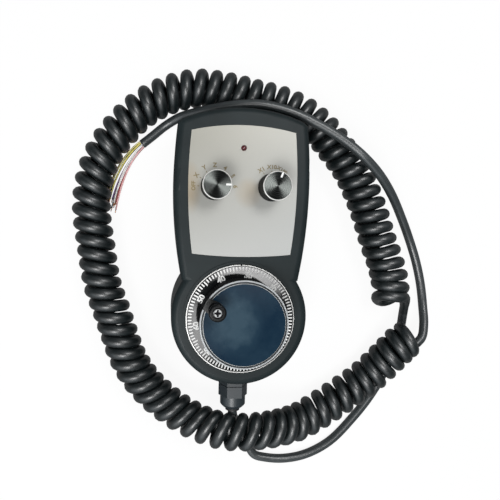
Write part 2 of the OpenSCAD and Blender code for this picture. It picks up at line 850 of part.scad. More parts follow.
module terminal_block() {
    color("#2f6f4a")
    difference() {
        translate([-terminals * terminal_pitch / 2 - 0.7, terminal_y, enc_z - terminal_h])
            cube([terminals * terminal_pitch + 1.4, terminal_d, terminal_h]);
        at_terminals() ring(1.7, 0, enc_z - terminal_h - eps, enc_z - terminal_h + 4);
    }
}

module at_terminals() {
    for (i = [0 : terminals - 1])
        translate([(i - (terminals - 1) / 2) * terminal_pitch, terminal_y + terminal_d / 2, 0]) children();
}

module terminal_screws() {
    color("silver")
    at_terminals()
        difference() {
            ring(1.65, 0, enc_z - terminal_h + 1, enc_z - terminal_h + 4);
            translate([-2, -0.25, enc_z - terminal_h]) cube([4, 0.5, 1.6]);
        }
}

// ---------------------------------------------------------------- handwheel, turning pieces

module encoder_shaft() {
    color("#d0d2d4")
    difference() {
        union() {
            ring(shaft_r, 0, shaft_z, cap_roof_z - 1);
            ring(shaft_r + 2, 0, collar_z, dial_z);
        }
        ring(1.5 + seat, 0, cap_roof_z - 10, cap_roof_z);
    }
}

module detent_wheel() {
    color("#8d9196")
    difference() {
        toothed(detent_r, detent_tooth, clicks, detent_z, detent_z + detent_t);
        ring(shaft_r + seat, 0, detent_z - eps, detent_z + detent_t + eps);
    }
}

module code_disc() {
    color("#7f8d9a")
    difference() {
        union() {
            ring(code_r, 0, code_z, code_z + code_t);
            ring(shaft_r + 2, 0, detent_z - code_hub_h, detent_z);
        }
        ring(shaft_r + seat, 0, detent_z - code_hub_h - eps, detent_z + eps);
    }
}

module dial_ring() {
    color("#101112") ring(dial_r, shaft_r + seat, dial_z, bezel_top_z);
}

module cap_form() {
    plain_h = 1.5;
    band_h = 0.8;
    band_z = cap_top_z - cap_bevel - band_h;
    ring(cap_r - cap_groove - 0.1, 0, bezel_top_z, bezel_top_z + plain_h + eps);
    grooved(cap_r - groove_in, cap_groove - groove_in, cap_grooves, bezel_top_z + plain_h, band_z);
    ring(cap_r, 0, band_z - eps, cap_top_z - cap_bevel);
    translate([0, 0, cap_top_z - cap_bevel]) cylinder(r1 = cap_r, r2 = cap_r - cap_bevel, h = cap_bevel);
}

module wheel_cap() {
    disc_z = cap_top_z - cap_disc_t;
    boss_z = cap_roof_z - 5;
    color("#1b1d1f")
    difference() {
        cap_form();
        difference() {
            ring(cap_hollow_r, cap_hub_r, bezel_top_z - eps, cap_roof_z);
            translate([crank_x, crank_y, 0]) ring(crank_pin_r + 2, 0, boss_z, cap_top_z);
        }
        ring(shaft_r + seat, 0, bezel_top_z - eps, cap_roof_z - 1);
        ring(1.6, 0, bezel_top_z, cap_top_z);
        ring(3.6, 0, cap_roof_z + 0.2, cap_top_z);
        ring(cap_disc_r + seat, 0, disc_z, cap_top_z + eps);
        ring(cap_r - cap_bevel - 0.1, cap_r - cap_bevel - 0.4, cap_top_z - 0.4, cap_top_z + eps);
        translate([crank_x, crank_y, 0]) ring(crank_pin_r + seat, 0, boss_z - eps, cap_top_z + eps);
    }
}

module cap_disc() {
    color("#1d2f45")
    difference() {
        ring(cap_disc_r, 0, cap_top_z - cap_disc_t, cap_top_z);
        translate([crank_x, crank_y, 0])
            ring(crank_pin_r + seat, 0, cap_top_z - cap_disc_t - eps, cap_top_z + eps);
    }
}

module wheel_screw() {
    color("silver")
    difference() {
        union() {
            ring(1.5, 0, cap_roof_z - 9, cap_roof_z + 0.2 + eps);
            ring(3.2, 0, cap_roof_z + 0.2, cap_roof_z + 2);
        }
        hexagon(2.5, cap_roof_z + 0.8, cap_roof_z + 3);
    }
}

// ---------------------------------------------------------------- crank

module crank_foot() {
    color("#17191a")
    difference() {
        intersection() {
            translate([0, 0, cap_top_z])
                linear_extrude(crank_foot_t)
                    rotate(crank_a) {
                        translate([crank_at_r, 0]) circle(r = crank_r - 0.5);
                        polygon([
                            [crank_at_r, crank_r - 0.5], [crank_at_r, 0.5 - crank_r],
                            [cap_r + 1, -crank_waist_r], [cap_r + 1, crank_waist_r]
                        ]);
                    }
            ring(cap_r + 0.1, 0, cap_top_z - eps, foot_top_z + eps);
        }
        translate([crank_x, crank_y, 0]) ring(crank_pin_r + seat, 0, cap_top_z - eps, foot_top_z + eps);
    }
}

module crank_pin() {
    color("#8e9296")
    translate([crank_x, crank_y, 0])
        difference() {
            union() {
                ring(crank_pin_r, 0, cap_roof_z - 4, crank_seat_z + 0.2 + eps);
                ring(crank_head_r, 0, crank_seat_z + 0.2, crank_seat_z + 0.2 + crank_head_h);
            }
            translate([0, 0, crank_seat_z + 0.2 + crank_head_h / 2]) mirror([0, 0, 1])
                cross_recess(crank_head_r * 1.5, crank_head_h, crank_head_r * 0.4);
        }
}

module crank_knob() {
    waist_curve = 9;
    shoulder = 0.9;
    color("#0d0e0f")
    translate([crank_x, crank_y, 0])
        difference() {
            rotate_extrude()
                intersection() {
                    union() {
                        translate([0, crank_z]) square([crank_r, crank_h - shoulder]);
                        translate([0, crank_z]) square([crank_r - shoulder, crank_h]);
                        translate([crank_r - shoulder, crank_top_z - shoulder]) circle(r = shoulder);
                    }
                    difference() {
                        translate([0, crank_z]) square([crank_r + 1, crank_h + 1]);
                        translate([crank_waist_r + waist_curve, crank_z + 3.6]) circle(r = waist_curve);
                    }
                }
            ring(crank_pin_r + run, 0, crank_z - eps, crank_top_z);
            ring(crank_head_r + 0.4, 0, crank_seat_z, crank_top_z + eps);
        }
}

// ---------------------------------------------------------------- cable gland

module gland_body() {
    color("#15181a")
    along_gland()
        difference() {
            union() {
                ring(stem_r, 0, stem_in, pad_out + eps);
                hexagon(gland_af, pad_out, flange_out);
                ring(thread_r, 0, flange_out - eps, thread_out);
            }
            ring(cord_d / 2 + 0.4, 0, stem_in - eps, thread_out + eps);
            ring(seal_r + 0.7 + seat, 0, nut_in + 1, thread_out + eps);
        }
}

module gland_nut() {
    color("#15181a")
    along_gland()
        difference() {
            union() {
                hexagon(gland_af, nut_in, nut_hex_out);
                intersection() {
                    ring(gland_af / 2, 0, nut_hex_out - eps, nut_out);
                    translate([0, 0, nut_hex_out]) sphere(r = norm([nut_out - nut_hex_out, nut_mouth_r + 0.3]));
                }
            }
            ring(nut_bore_r, 0, nut_in - eps, nut_hex_out);
            ring(seal_r + 0.7 + seat, 0, nut_hex_out - eps, nut_round_out);
            ring(nut_mouth_r, 0, nut_round_out - eps, nut_out + eps);
        }
}

module gland_seal() {
    color("#101010")
    along_gland()
        difference() {
            union() {
                ring(seal_r + 0.7, 0, nut_in + 1, nut_round_out);
                ring(seal_r, 0, nut_round_out - eps, seal_end);
            }
            ring(cord_d / 2 + seat, 0, nut_in, seal_end + eps);
        }
}

module gland_locknut() {
    color("#c2a14a")
    along_gland()
        difference() {
            hexagon(gland_af + 2, pad_in - washer_t - locknut_t, pad_in - washer_t);
            ring(stem_r + seat, 0, stem_in, pad_in);
        }
}

module gland_washer() {
    color("#1a1a1a") along_gland() ring(stem_r + 2, stem_r + seat, pad_in - washer_t, pad_in);
}

module cable_inner_end() {
    color("#1b1d1e") along_gland() ring(cord_d / 2, 0, cable_in, seal_end);
}

// ---------------------------------------------------------------- cord

function unit(v) = v / norm(v);

// Direction of the route at a point: along the chord between its neighbours
function heading(route, i) =
    let (last = len(route) - 1, a = route[max(i - 1, 0)], b = route[min(i + 1, last)])
        unit([b[0] - a[0], b[1] - a[1], b[2] - a[2]]);

// Corners of the section at a point: w wide and h high
function section(route, i, w, h, sides) =
    let (
        t = heading(route, i),
        across = unit(cross(t, [0, 0, 1])),
        up = cross(across, t),
        c = [route[i][0], route[i][1], route[i][2]]
    )
        [
            for (k = [0 : sides - 1])
                let (a = (k + 0.5) * 360 / sides) c + across * (w / 2 * cos(a)) + up * (h / 2 * sin(a))
        ];

// A closed tube along a route; heights lists the height of the section at each point
module tube(route, w, heights, sides) {
    rings = len(route);
    points = [for (i = [0 : rings - 1]) each section(route, i, w, heights[i], sides)];
    walls = [
        for (i = [0 : rings - 2], k = [0 : sides - 1])
            let (n = (k + 1) % sides, a = i * sides, b = a + sides)
                each [[a + k, b + k, b + n], [a + k, b + n, a + n]]
    ];
    start = [for (k = [0 : sides - 1]) k];
    end = [for (k = [sides - 1 : -1 : 0]) (rings - 1) * sides + k];
    polyhedron(points = points, faces = concat(walls, [start], [end]));
}

module cord(route) {
    tube(route, cord_d, [for (p = route) cord_d], 8);
}

module cord_tail() { color("#1b1d1e") cord(tail_route); }
module cord_lead() { color("#2a2c2d") cord(lead_route); }
module curly_cord() { color("#121314") tube(coil_route, coil_d, [for (p = coil_route) p[3]], 12); }

// Centre of one core at step t from 0 to 1: from its place in the cord to its own tip
function core_point(column, layer, t) =
    let (
        place = (column - (core_columns - 1) / 2) * core_pitch,
        shorter = [0.6 * layer, 0] + [0.6, 3] * sin(97 * column + 140 * layer),
        start = core_line[0] + core_across[0] * place,
        bend = core_line[1] + core_across[1] * place,
        tip = core_line[2] + core_across[2] * place + shorter,
        flat = start * pow(1 - t, 2) + bend * 2 * t * (1 - t) + tip * pow(t, 2),
        z0 = cord_d / 2 + (layer - 1) * core_pitch,
        z1 = core_d / 2 + 0.1 + layer * core_pitch
    )
        [flat[0], flat[1], z0 + (z1 - z0) * t];

module core_wires() {
    color("#c9a227")
    for (column = [0 : core_columns - 1], layer = [0 : core_layers - 1]) {
        route = [for (s = [0 : core_steps]) core_point(column, layer, s / core_steps)];
        tube(route, core_d, [for (p = route) core_d], 8);
    }
}

front_shell();
rear_shell();
shell_gasket();
housing_screws();
threaded_inserts();
face_plate();
led_lens();
led_leads();
switch_board();
board_screws();
switch_pins();
axis_switch_body();
axis_switch_bushing();
axis_switch_nut();
axis_shaft();
axis_knob();
axis_knob_pointer();
axis_knob_grub();
scale_switch_body();
scale_switch_bushing();
scale_switch_nut();
scale_shaft();
scale_knob();
scale_knob_pointer();
scale_knob_grub();
bezel_ring();
encoder_body();
encoder_studs();
encoder_nuts();
front_bearing();
rear_bearing();
encoder_pcb();
optical_head();
detent_spring();
terminal_block();
terminal_screws();
encoder_shaft();
detent_wheel();
code_disc();
dial_ring();
wheel_cap();
cap_disc();
wheel_screw();
crank_foot();
crank_pin();
crank_knob();
gland_body();
gland_nut();
gland_seal();
gland_locknut();
gland_washer();
cable_inner_end();
cord_tail();
curly_cord();
cord_lead();
core_wires();
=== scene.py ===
import bpy
import bmesh
from math import ceil, cos, pi, radians, sin
from mathutils import Euler, Matrix, Vector


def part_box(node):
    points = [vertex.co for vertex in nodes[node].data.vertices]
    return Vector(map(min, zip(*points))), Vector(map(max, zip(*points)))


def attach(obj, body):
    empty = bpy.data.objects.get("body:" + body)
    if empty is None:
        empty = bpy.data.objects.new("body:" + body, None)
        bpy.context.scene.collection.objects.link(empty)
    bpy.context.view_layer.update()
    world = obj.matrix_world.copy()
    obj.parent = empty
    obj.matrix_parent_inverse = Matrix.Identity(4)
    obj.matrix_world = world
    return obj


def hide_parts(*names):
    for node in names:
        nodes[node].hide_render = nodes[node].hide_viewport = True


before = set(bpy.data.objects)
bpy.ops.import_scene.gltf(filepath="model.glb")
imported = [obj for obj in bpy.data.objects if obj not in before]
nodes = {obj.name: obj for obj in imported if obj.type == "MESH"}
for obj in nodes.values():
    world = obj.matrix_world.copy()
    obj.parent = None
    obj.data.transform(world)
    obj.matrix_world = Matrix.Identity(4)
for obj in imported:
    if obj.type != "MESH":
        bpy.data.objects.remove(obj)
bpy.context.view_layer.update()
scene = bpy.context.scene
MM = 0.001


def link(name, data):
    """Puts a new object with this data into the scene."""
    obj = bpy.data.objects.new(name, data)
    scene.collection.objects.link(obj)
    return obj


# ---------------------------------------------------------------- camera

def add_camera():
    """The camera: close above the object and left of its middle, with a shifted lens."""
    data = bpy.data.cameras.new("camera")
    cam = link("camera", data)
    data.sensor_width = 36
    data.lens = 34.13
    data.shift_x = 0.0864
    data.shift_y = -0.011
    data.clip_start = 0.01
    cam.location = Vector((-39.5, 55.7, 300)) * MM
    cam.rotation_euler = Euler([radians(a) for a in (-3.426, -4.478, 1.125)])
    scene.camera = cam


add_camera()


# ---------------------------------------------------------------- curves and tubes (millimetres)

# Distance between the points of a bridge, its length against its gap, and how far its ends pull it straight
BRIDGE_STEP = 1.2
BRIDGE_LONGER = 1.3
BRIDGE_PULL = 0.9


def hermite(t):
    """Weights of a curve's start, its start tangent, its end and its end tangent at share t."""
    return (2 * t ** 3 - 3 * t ** 2 + 1, t ** 3 - 2 * t ** 2 + t,
            3 * t ** 2 - 2 * t ** 3, t ** 3 - t ** 2)


def distance(a, b):
    """Distance in space between two points, which may carry extra values."""
    return (Vector(b[:3]) - Vector(a[:3])).length


def spline(points, step):
    """Points about step apart on a smooth curve through points, with the extra values they carry."""
    out = []
    last = len(points) - 1
    for i in range(last):
        p0 = points[max(i - 1, 0)]
        p1 = points[i]
        p2 = points[i + 1]
        p3 = points[min(i + 2, last)]
        span = distance(p1, p2)
        before = max(distance(p0, p1), 1e-6)
        after = max(distance(p2, p3), 1e-6)
        count = max(2, ceil(span / step))
        for k in range(count):
            h = hermite(k / count)
            value = []
            for c in range(len(p1)):
                chord = p2[c] - p1[c]
                m1 = chord
                m2 = chord
                if i > 0:
                    m1 = ((p1[c] - p0[c]) / before * span + chord) / 2
                if i < last - 1:
                    m2 = ((p3[c] - p2[c]) / after * span + chord) / 2
                value.append(h[0] * p1[c] + h[1] * m1 + h[2] * p2[c] + h[3] * m2)
            out.append(tuple(value))
    out.append(tuple(points[-1]))
    return out


def bridge(p0, d0, p1, d1):
    """Points of a smooth arc from p0 along d0 to p1 along d1, without its two ends."""
    gap = (p1 - p0).length
    count = max(3, ceil(gap * BRIDGE_LONGER / BRIDGE_STEP))
    m0 = d0.normalized() * gap * BRIDGE_PULL
    m1 = d1.normalized() * gap * BRIDGE_PULL
    out = []
    for k in range(1, count):
        h = hermite(k / count)
        out.append(p0 * h[0] + m0 * h[1] + p1 * h[2] + m1 * h[3])
    return out


def sweep(bm, points, radii, sides, slots):
    """Adds a round tube along points in millimetres to a bmesh in metres, with a slot for each point."""
    last = len(points) - 1
    points = [Vector(p[:3]) for p in points]
    tangents = []
    for i in range(last + 1):
        tangents.append((points[min(i + 1, last)] - points[max(i - 1, 0)]).normalized())
    side = tangents[0].cross(Vector((0, 0, 1)))
    if side.length < 0.1:
        side = tangents[0].cross(Vector((0, 1, 0)))
    loops = []
    for point, tangent, radius in zip(points, tangents, radii):
        side = (side - tangent * side.dot(tangent)).normalized()
        up = side.cross(tangent)
        loop = []
        for k in range(sides):
            a = 2 * pi * k / sides
            loop.append(bm.verts.new((point + (side * cos(a) + up * sin(a)) * radius) * MM))
        loops.append(loop)
    for i in range(last):
        for k in range(sides):
            n = (k + 1) % sides
            face = bm.faces.new((loops[i][k], loops[i][n], loops[i + 1][n], loops[i + 1][k]))
            face.smooth = True
            face.material_index = slots[i]
    bm.faces.new(loops[0][::-1]).material_index = slots[0]
    bm.faces.new(loops[-1]).material_index = slots[-1]


def new_object(name, bm, materials, body="housing"):
    """Turns a bmesh into a piece that rides on a body."""
    bmesh.ops.recalc_face_normals(bm, faces=bm.faces)
    mesh = bpy.data.meshes.new(name)
    bm.to_mesh(mesh)
    bm.free()
    obj = link(name, mesh)
    for m in materials:
        mesh.materials.append(m)
    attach(obj, body)
    return obj


# ---------------------------------------------------------------- parts of materials

# Most of a noise lies between these two values
NOISE_LOW = 0.3
NOISE_HIGH = 0.7
# Scales of a lathe's concentric marks on shafts and the bezel, and on the knobs and the cap
SHAFT_TURNING = 9000
KNOB_TURNING = 5200
WHEEL_AT = (0, 0)
# Millimetres below a knob's top at which its bright bevel starts and ends
KNOB_BEVEL = 0.60
KNOB_TOP = 0.08
# How far the cap's bright bevel reaches down and in, and the widths of the disc's ring and the bezel's edge
CAP_BEVEL = 0.49
CAP_BEVEL_WIDE = 0.72
DISC_RING = 0.24
BEZEL_EDGE = 0.50
# Width in which one finish softly turns into the next
SOFT = 0.04
# Half width of the black index strip across the bezel's top, and the radii of the lighter ring painted as
# the highlight on the crank's screw
INDEX_STRIP_HALF = 0.55
SCREW_HIGHLIGHT_RING = (1.2, 1.8)


def new_material(name):
    mat = bpy.data.materials.new(name)
    mat.use_nodes = True
    tree = mat.node_tree
    return mat, tree, tree.nodes["Principled BSDF"]


def coordinates(tree):
    return tree.nodes.new("ShaderNodeTexCoord").outputs["Object"]


def noise(tree, vector, scale, detail=3.0, roughness=0.55):
    n = tree.nodes.new("ShaderNodeTexNoise")
    n.inputs["Scale"].default_value = scale
    n.inputs["Detail"].default_value = detail
    n.inputs["Roughness"].default_value = roughness
    tree.links.new(vector, n.inputs["Vector"])
    return n.outputs["Fac"]


def ramp(tree, value, stops):
    """A colour ramp whose stops are (position, colour)."""
    n = tree.nodes.new("ShaderNodeValToRGB")
    tree.links.new(value, n.inputs["Fac"])
    elements = n.color_ramp.elements
    while len(elements) < len(stops):
        elements.new(0.5)
    for e, (at, color) in zip(elements, stops):
        e.position = at
        e.color = (*color, 1)
    return n.outputs["Color"]


def fit(tree, value, a, b, c, d):
    """Maps a value from the range a to b onto c to d."""
    n = tree.nodes.new("ShaderNodeMapRange")
    tree.links.new(value, n.inputs["Value"])
    for name, v in (("From Min", a), ("From Max", b), ("To Min", c), ("To Max", d)):
        n.inputs[name].default_value = v
    return n.outputs["Result"]


def shades(tree, value, dark, light):
    """Colours a noise from dark to light."""
    return ramp(tree, value, [(NOISE_LOW, dark), (NOISE_HIGH, light)])


def spread(tree, value, low, high):
    """Maps a noise onto low to high."""
    return fit(tree, value, NOISE_LOW, NOISE_HIGH, low, high)


def rise(tree, value, at, width):
    """A soft step in millimetres: 0 until width short of at, 1 from at on. A negative width steps down."""
    return fit(tree, value, (at - width) * MM, at * MM, 0, 1)


def calculate(tree, kind, a, b=None):
    n = tree.nodes.new("ShaderNodeMath")
    n.operation = kind
    for socket, v in zip(n.inputs, (a, b)):
        if isinstance(v, (int, float)):
            socket.default_value = v
        elif v is not None:
            tree.links.new(v, socket)
    return n.outputs["Value"]


def total(tree, a, b):
    return calculate(tree, "ADD", a, b)


def difference(tree, a, b):
    return calculate(tree, "SUBTRACT", a, b)


def product(tree, a, b):
    return calculate(tree, "MULTIPLY", a, b)


def quotient(tree, a, b):
    return calculate(tree, "DIVIDE", a, b)


def square_sum(tree, a, b):
    return total(tree, product(tree, a, a), product(tree, b, b))


def mix(tree, factor, a, b):
    """Mixes two colours, each a tuple or a socket."""
    n = tree.nodes.new("ShaderNodeMix")
    n.data_type = "RGBA"
    tree.links.new(factor, n.inputs["Factor"])
    for socket, v in ((n.inputs[6], a), (n.inputs[7], b)):
        if isinstance(v, tuple):
            socket.default_value = (*v, 1)
        else:
            tree.links.new(v, socket)
    return n.outputs[2]


def add_bump(tree, bsdf, height, strength, depth):
    n = tree.nodes.new("ShaderNodeBump")
    n.inputs["Strength"].default_value = strength
    n.inputs["Distance"].default_value = depth
    tree.links.new(height, n.inputs["Height"])
    tree.links.new(n.outputs["Normal"], bsdf.inputs["Normal"])


def shade(rgb, k):
    return tuple(min(c * k, 1) for c in rgb)


def polar(tree, centre):
    """(radius, height, x, y) of a point about a vertical axis through centre, as sockets in metres."""
    split = tree.nodes.new("ShaderNodeSeparateXYZ")
    tree.links.new(coordinates(tree), split.inputs["Vector"])
    x = difference(tree, split.outputs["X"], centre[0] * MM)
    y = difference(tree, split.outputs["Y"], centre[1] * MM)
    r = calculate(tree, "SQRT", square_sum(tree, x, y))
    return r, split.outputs["Z"], x, y


def around(tree, x, y):
    """The direction round the vertical axis, for a spun finish."""
    join = tree.nodes.new("ShaderNodeCombineXYZ")
    tree.links.new(product(tree, y, -1), join.inputs["X"])
    tree.links.new(x, join.inputs["Y"])
    turn = tree.nodes.new("ShaderNodeVectorTransform")
    turn.vector_type = "VECTOR"
    turn.convert_from = "OBJECT"
    turn.convert_to = "WORLD"
    tree.links.new(join.outputs["Vector"], turn.inputs["Vector"])
    norm = tree.nodes.new("ShaderNodeVectorMath")
    norm.operation = "NORMALIZE"
    tree.links.new(turn.outputs["Vector"], norm.inputs[0])
    return norm.outputs["Vector"]


def turning_marks(tree, r, scale):
    """Fine concentric marks at the radius r."""
    join = tree.nodes.new("ShaderNodeCombineXYZ")
    tree.links.new(r, join.inputs["X"])
    return noise(tree, join.outputs["Vector"], scale, 2, 0.7)


def spot(tree, x, y, centre, size):
    """1 at a centre given in millimetres, fading to 0 at an oval of half sizes size."""
    u = product(tree, difference(tree, x, centre[0] * MM), 1 / (size[0] * MM))
    v = product(tree, difference(tree, y, centre[1] * MM), 1 / (size[1] * MM))
    return fit(tree, square_sum(tree, u, v), 0, 1, 1, 0)


# ---------------------------------------------------------------- materials

def finish(name, color, rough=0.5, metal=0.0, grain=4000, grain_depth=0.00002, cloud=60, vary=0.12,
           rough_vary=0.08, coat=0.0, coat_rough=0.1, strength=0.4, specular=0.5):
    """A finish with a cloudy colour, a fine grain in its gloss and surface, and an optional clear coat."""
    mat, tree, bsdf = new_material(name)
    xyz = coordinates(tree)
    soft = noise(tree, xyz, cloud, 4)
    fine = noise(tree, xyz, grain, 2)
    color_out = shades(tree, soft, shade(color, 1 - vary), shade(color, 1 + vary))
    tree.links.new(color_out, bsdf.inputs["Base Color"])
    tree.links.new(spread(tree, fine, rough - rough_vary, rough + rough_vary), bsdf.inputs["Roughness"])
    bsdf.inputs["Metallic"].default_value = metal
    bsdf.inputs["Specular IOR Level"].default_value = specular
    bsdf.inputs["Coat Weight"].default_value = coat
    bsdf.inputs["Coat Roughness"].default_value = coat_rough
    add_bump(tree, bsdf, fine, strength, grain_depth)
    return mat


plastic = finish("housing_plastic", (0.0122, 0.0185, 0.0200), 0.46, grain=2600, grain_depth=0.00003,
                 vary=0.16, specular=0.22)
rubber = finish("cord_polyurethane", (0.0022, 0.0054, 0.0062), 0.40, cloud=180, grain=1800, vary=0.3,
                rough_vary=0.04, strength=0.04, specular=0.9, coat=0.35, coat_rough=0.33)
jacket = finish("lead_jacket", (0.032, 0.038, 0.040), 0.34, cloud=120, grain=1500, vary=0.2,
                rough_vary=0.04, strength=0.15, specular=0.9)
gland_black = finish("gland_nylon", (0.020, 0.027, 0.032), 0.42, grain=2500, vary=0.15, strength=0.15,
                     specular=0.75)
seal_black = finish("seal_rubber", (0.012, 0.012, 0.013), 0.6, grain=2500)
foot_black = finish("crank_foot_finish", (0.009, 0.010, 0.010), 0.3, grain=2500)
steel = finish("zinc_steel", (0.52, 0.53, 0.54), 0.3, 1.0, grain=3000)
dark_steel = finish("black_steel", (0.10, 0.105, 0.11), 0.35, 1.0, grain=3000)
brass = finish("brass", (0.62, 0.43, 0.15), 0.3, 1.0, grain=3000)
board = finish("circuit_board", (0.01, 0.09, 0.04), 0.35, cloud=900, vary=0.3, coat=0.3)
dark_plastic = finish("switch_plastic", (0.012, 0.015, 0.02), 0.45)
cast = finish("die_cast", (0.2, 0.21, 0.22), 0.5, 0.9, grain=1500, grain_depth=0.00006)
glass = finish("code_disc", (0.2, 0.24, 0.28), 0.15, coat=0.5)
green = finish("terminal_green", (0.02, 0.16, 0.07), 0.45)
red_lens = finish("red_lens", (0.085, 0.004, 0.008), 0.12, vary=0.3, cloud=900, coat=0.6, coat_rough=0.04)
ink = finish("white_ink", (0.92, 0.92, 0.90), 0.45, grain=6000, vary=0.05)
brown_ink = finish("label_ink", (0.20, 0.155, 0.065), 0.5, grain=6000, vary=0.3)


def turned_metal(name, color, centre):
    """Bare metal with the marks of the lathe round its own axis."""
    mat, tree, bsdf = new_material(name)
    r, _, x, y = polar(tree, centre)
    marks = turning_marks(tree, r, SHAFT_TURNING)
    tree.links.new(shades(tree, marks, shade(color, 0.88), shade(color, 1.1)), bsdf.inputs["Base Color"])
    tree.links.new(spread(tree, marks, 0.19, 0.31), bsdf.inputs["Roughness"])
    bsdf.inputs["Metallic"].default_value = 1.0
    bsdf.inputs["Anisotropic"].default_value = 0.5
    tree.links.new(around(tree, x, y), bsdf.inputs["Tangent"])
    add_bump(tree, bsdf, marks, 0.2, 0.000004)
    return mat


def knob_finish(name, centre, high):
    """A dark anodised knob with a spun top and a bright cut bevel."""
    mat, tree, bsdf = new_material(name)
    r, z, x, y = polar(tree, centre)
    marks = turning_marks(tree, r, KNOB_TURNING)
    top = rise(tree, z, high - KNOB_TOP, SOFT)
    upper = rise(tree, z, high - KNOB_BEVEL, SOFT)
    bevel = product(tree, upper, difference(tree, 1, top))
    top_color = shades(tree, marks, (0.07, 0.076, 0.072), (0.16, 0.17, 0.162))
    side_color = shades(tree, marks, (0.005, 0.0055, 0.006), (0.010, 0.011, 0.012))
    color = mix(tree, top, side_color, top_color)
    tree.links.new(mix(tree, bevel, color, (0.95, 0.94, 0.90)), bsdf.inputs["Base Color"])
    dull = total(tree, fit(tree, upper, 0, 1, 0.45, 0), product(tree, bevel, 0.3))
    tree.links.new(total(tree, spread(tree, marks, 0.22, 0.30), dull), bsdf.inputs["Roughness"])
    tree.links.new(difference(tree, upper, product(tree, bevel, 0.7)), bsdf.inputs["Metallic"])
    tree.links.new(around(tree, x, y), bsdf.inputs["Tangent"])
    bsdf.inputs["Anisotropic"].default_value = 0.93
    bsdf.inputs["Specular IOR Level"].default_value = 0.1
    add_bump(tree, bsdf, marks, 0.25, 0.000006)
    return mat


def cap_finish(high, cap_r, disc_r):
    """The cap: a dark side, a bright cut bevel, a dark face and a thin grey ring round the disc."""
    mat, tree, bsdf = new_material("wheel_cap_finish")
    r, z, _, _ = polar(tree, WHEEL_AT)
    marks = turning_marks(tree, r, KNOB_TURNING)
    upper = rise(tree, z, high - CAP_BEVEL, SOFT)
    bevel = product(tree, upper, rise(tree, r, cap_r - CAP_BEVEL_WIDE, 1.5 * SOFT))
    thin_ring = product(tree, upper, rise(tree, r, disc_r + DISC_RING, -1.5 * SOFT))
    smear = noise(tree, coordinates(tree), 900, 3)
    side_color = shades(tree, smear, (0.006, 0.007, 0.008), (0.012, 0.013, 0.014))
    face_color = shades(tree, marks, (0.020, 0.022, 0.024), (0.045, 0.048, 0.050))
    color = mix(tree, thin_ring, mix(tree, upper, side_color, face_color), (0.30, 0.31, 0.31))
    tree.links.new(mix(tree, bevel, color, (0.62, 0.64, 0.65)), bsdf.inputs["Base Color"])
    dull = fit(tree, upper, 0, 1, 0.35, 0)
    tree.links.new(total(tree, spread(tree, marks, 0.30, 0.38), dull), bsdf.inputs["Roughness"])
    tree.links.new(difference(tree, upper, product(tree, bevel, 0.8)), bsdf.inputs["Metallic"])
    bsdf.inputs["Specular IOR Level"].default_value = 0.1
    return mat


def disc_finish():
    """The navy disc: gloss over a soft cloudy tinted layer with faint dust, and a lighter patch left of its
    middle that is a painted reflection.
    """
    mat, tree, bsdf = new_material("navy_disc_finish")
    xyz = coordinates(tree)
    cloud = noise(tree, xyz, 55, 4, 0.6)
    dust = noise(tree, xyz, 1400, 4, 0.7)
    _, _, x, y = polar(tree, WHEEL_AT)
    # Painted reflection: a lighter patch left of the disc's middle, added to its colour.
    painted_reflection = spot(tree, x, y, (-5, 1), (16, 19))
    cloud_and_reflection = total(tree, product(tree, cloud, 0.6), product(tree, painted_reflection, 0.32))
    tint_and_reflection = ramp(tree, cloud_and_reflection, [
        (0.25, (0.007, 0.021, 0.040)), (0.45, (0.014, 0.034, 0.056)), (0.62, (0.036, 0.066, 0.092))])
    speck = fit(tree, dust, 0.70, 0.76, 0, 0.4)
    tree.links.new(mix(tree, speck, tint_and_reflection, (0.30, 0.34, 0.38)), bsdf.inputs["Base Color"])
    tree.links.new(spread(tree, cloud, 0.12, 0.22), bsdf.inputs["Roughness"])
    bsdf.inputs["Specular IOR Level"].default_value = 0.05
    add_bump(tree, bsdf, cloud, 0.05, 0.0001)
    return mat


def plate_finish():
    """Satin plate: darker and warmer towards the top, lighter and cooler below, with a faint brown patch
    left of each knob.
    """
    mat, tree, bsdf = new_material("plate_satin")
    xyz = coordinates(tree)
    _, _, x, y = polar(tree, WHEEL_AT)
    # Darker and warmer towards the top.
    toward_top = fit(tree, difference(tree, y, product(tree, x, 0.5)), 30 * MM, 110 * MM, 0, 1)
    base = mix(tree, toward_top, (0.468, 0.474, 0.460), (0.370, 0.360, 0.316))
    cloud = noise(tree, xyz, 60, 4)
    # A faint brown patch left of each knob.
    left = spot(tree, x, y, (-28.5, 71), (6.5, 15))
    right = product(tree, spot(tree, x, y, (3.0, 69), (8, 9)), 0.7)
    brown_patch = product(tree, calculate(tree, "MAXIMUM", left, right), spread(tree, cloud, 0.25, 0.6))
    tree.links.new(mix(tree, brown_patch, base, (0.36, 0.25, 0.12)), bsdf.inputs["Base Color"])
    grain = noise(tree, xyz, 5200, 2)
    tree.links.new(spread(tree, grain, 0.26, 0.42), bsdf.inputs["Roughness"])
    bsdf.inputs["Metallic"].default_value = 0.12
    add_bump(tree, bsdf, grain, 0.3, 0.00001)
    return mat


def bezel_finish(bezel_r):
    """The bezel: a bright cut edge round a dark rim, with a black index strip across the top."""
    mat, tree, bsdf = new_material("bezel_metal")
    r, _, x, y = polar(tree, WHEEL_AT)
    marks = turning_marks(tree, r, SHAFT_TURNING)
    edge = rise(tree, r, bezel_r - BEZEL_EDGE, 2 * SOFT)
    # A black strip across the top of the bezel.
    narrow = calculate(tree, "LESS_THAN", calculate(tree, "ABSOLUTE", x), INDEX_STRIP_HALF * MM)
    top_strip = product(tree, narrow, calculate(tree, "GREATER_THAN", y, 0))
    color = mix(tree, edge, (0.05, 0.05, 0.05), (0.52, 0.52, 0.51))
    tree.links.new(mix(tree, top_strip, color, (0.004, 0.004, 0.004)), bsdf.inputs["Base Color"])
    tree.links.new(spread(tree, marks, 0.3, 0.42), bsdf.inputs["Roughness"])
    bsdf.inputs["Metallic"].default_value = 1.0
    return mat


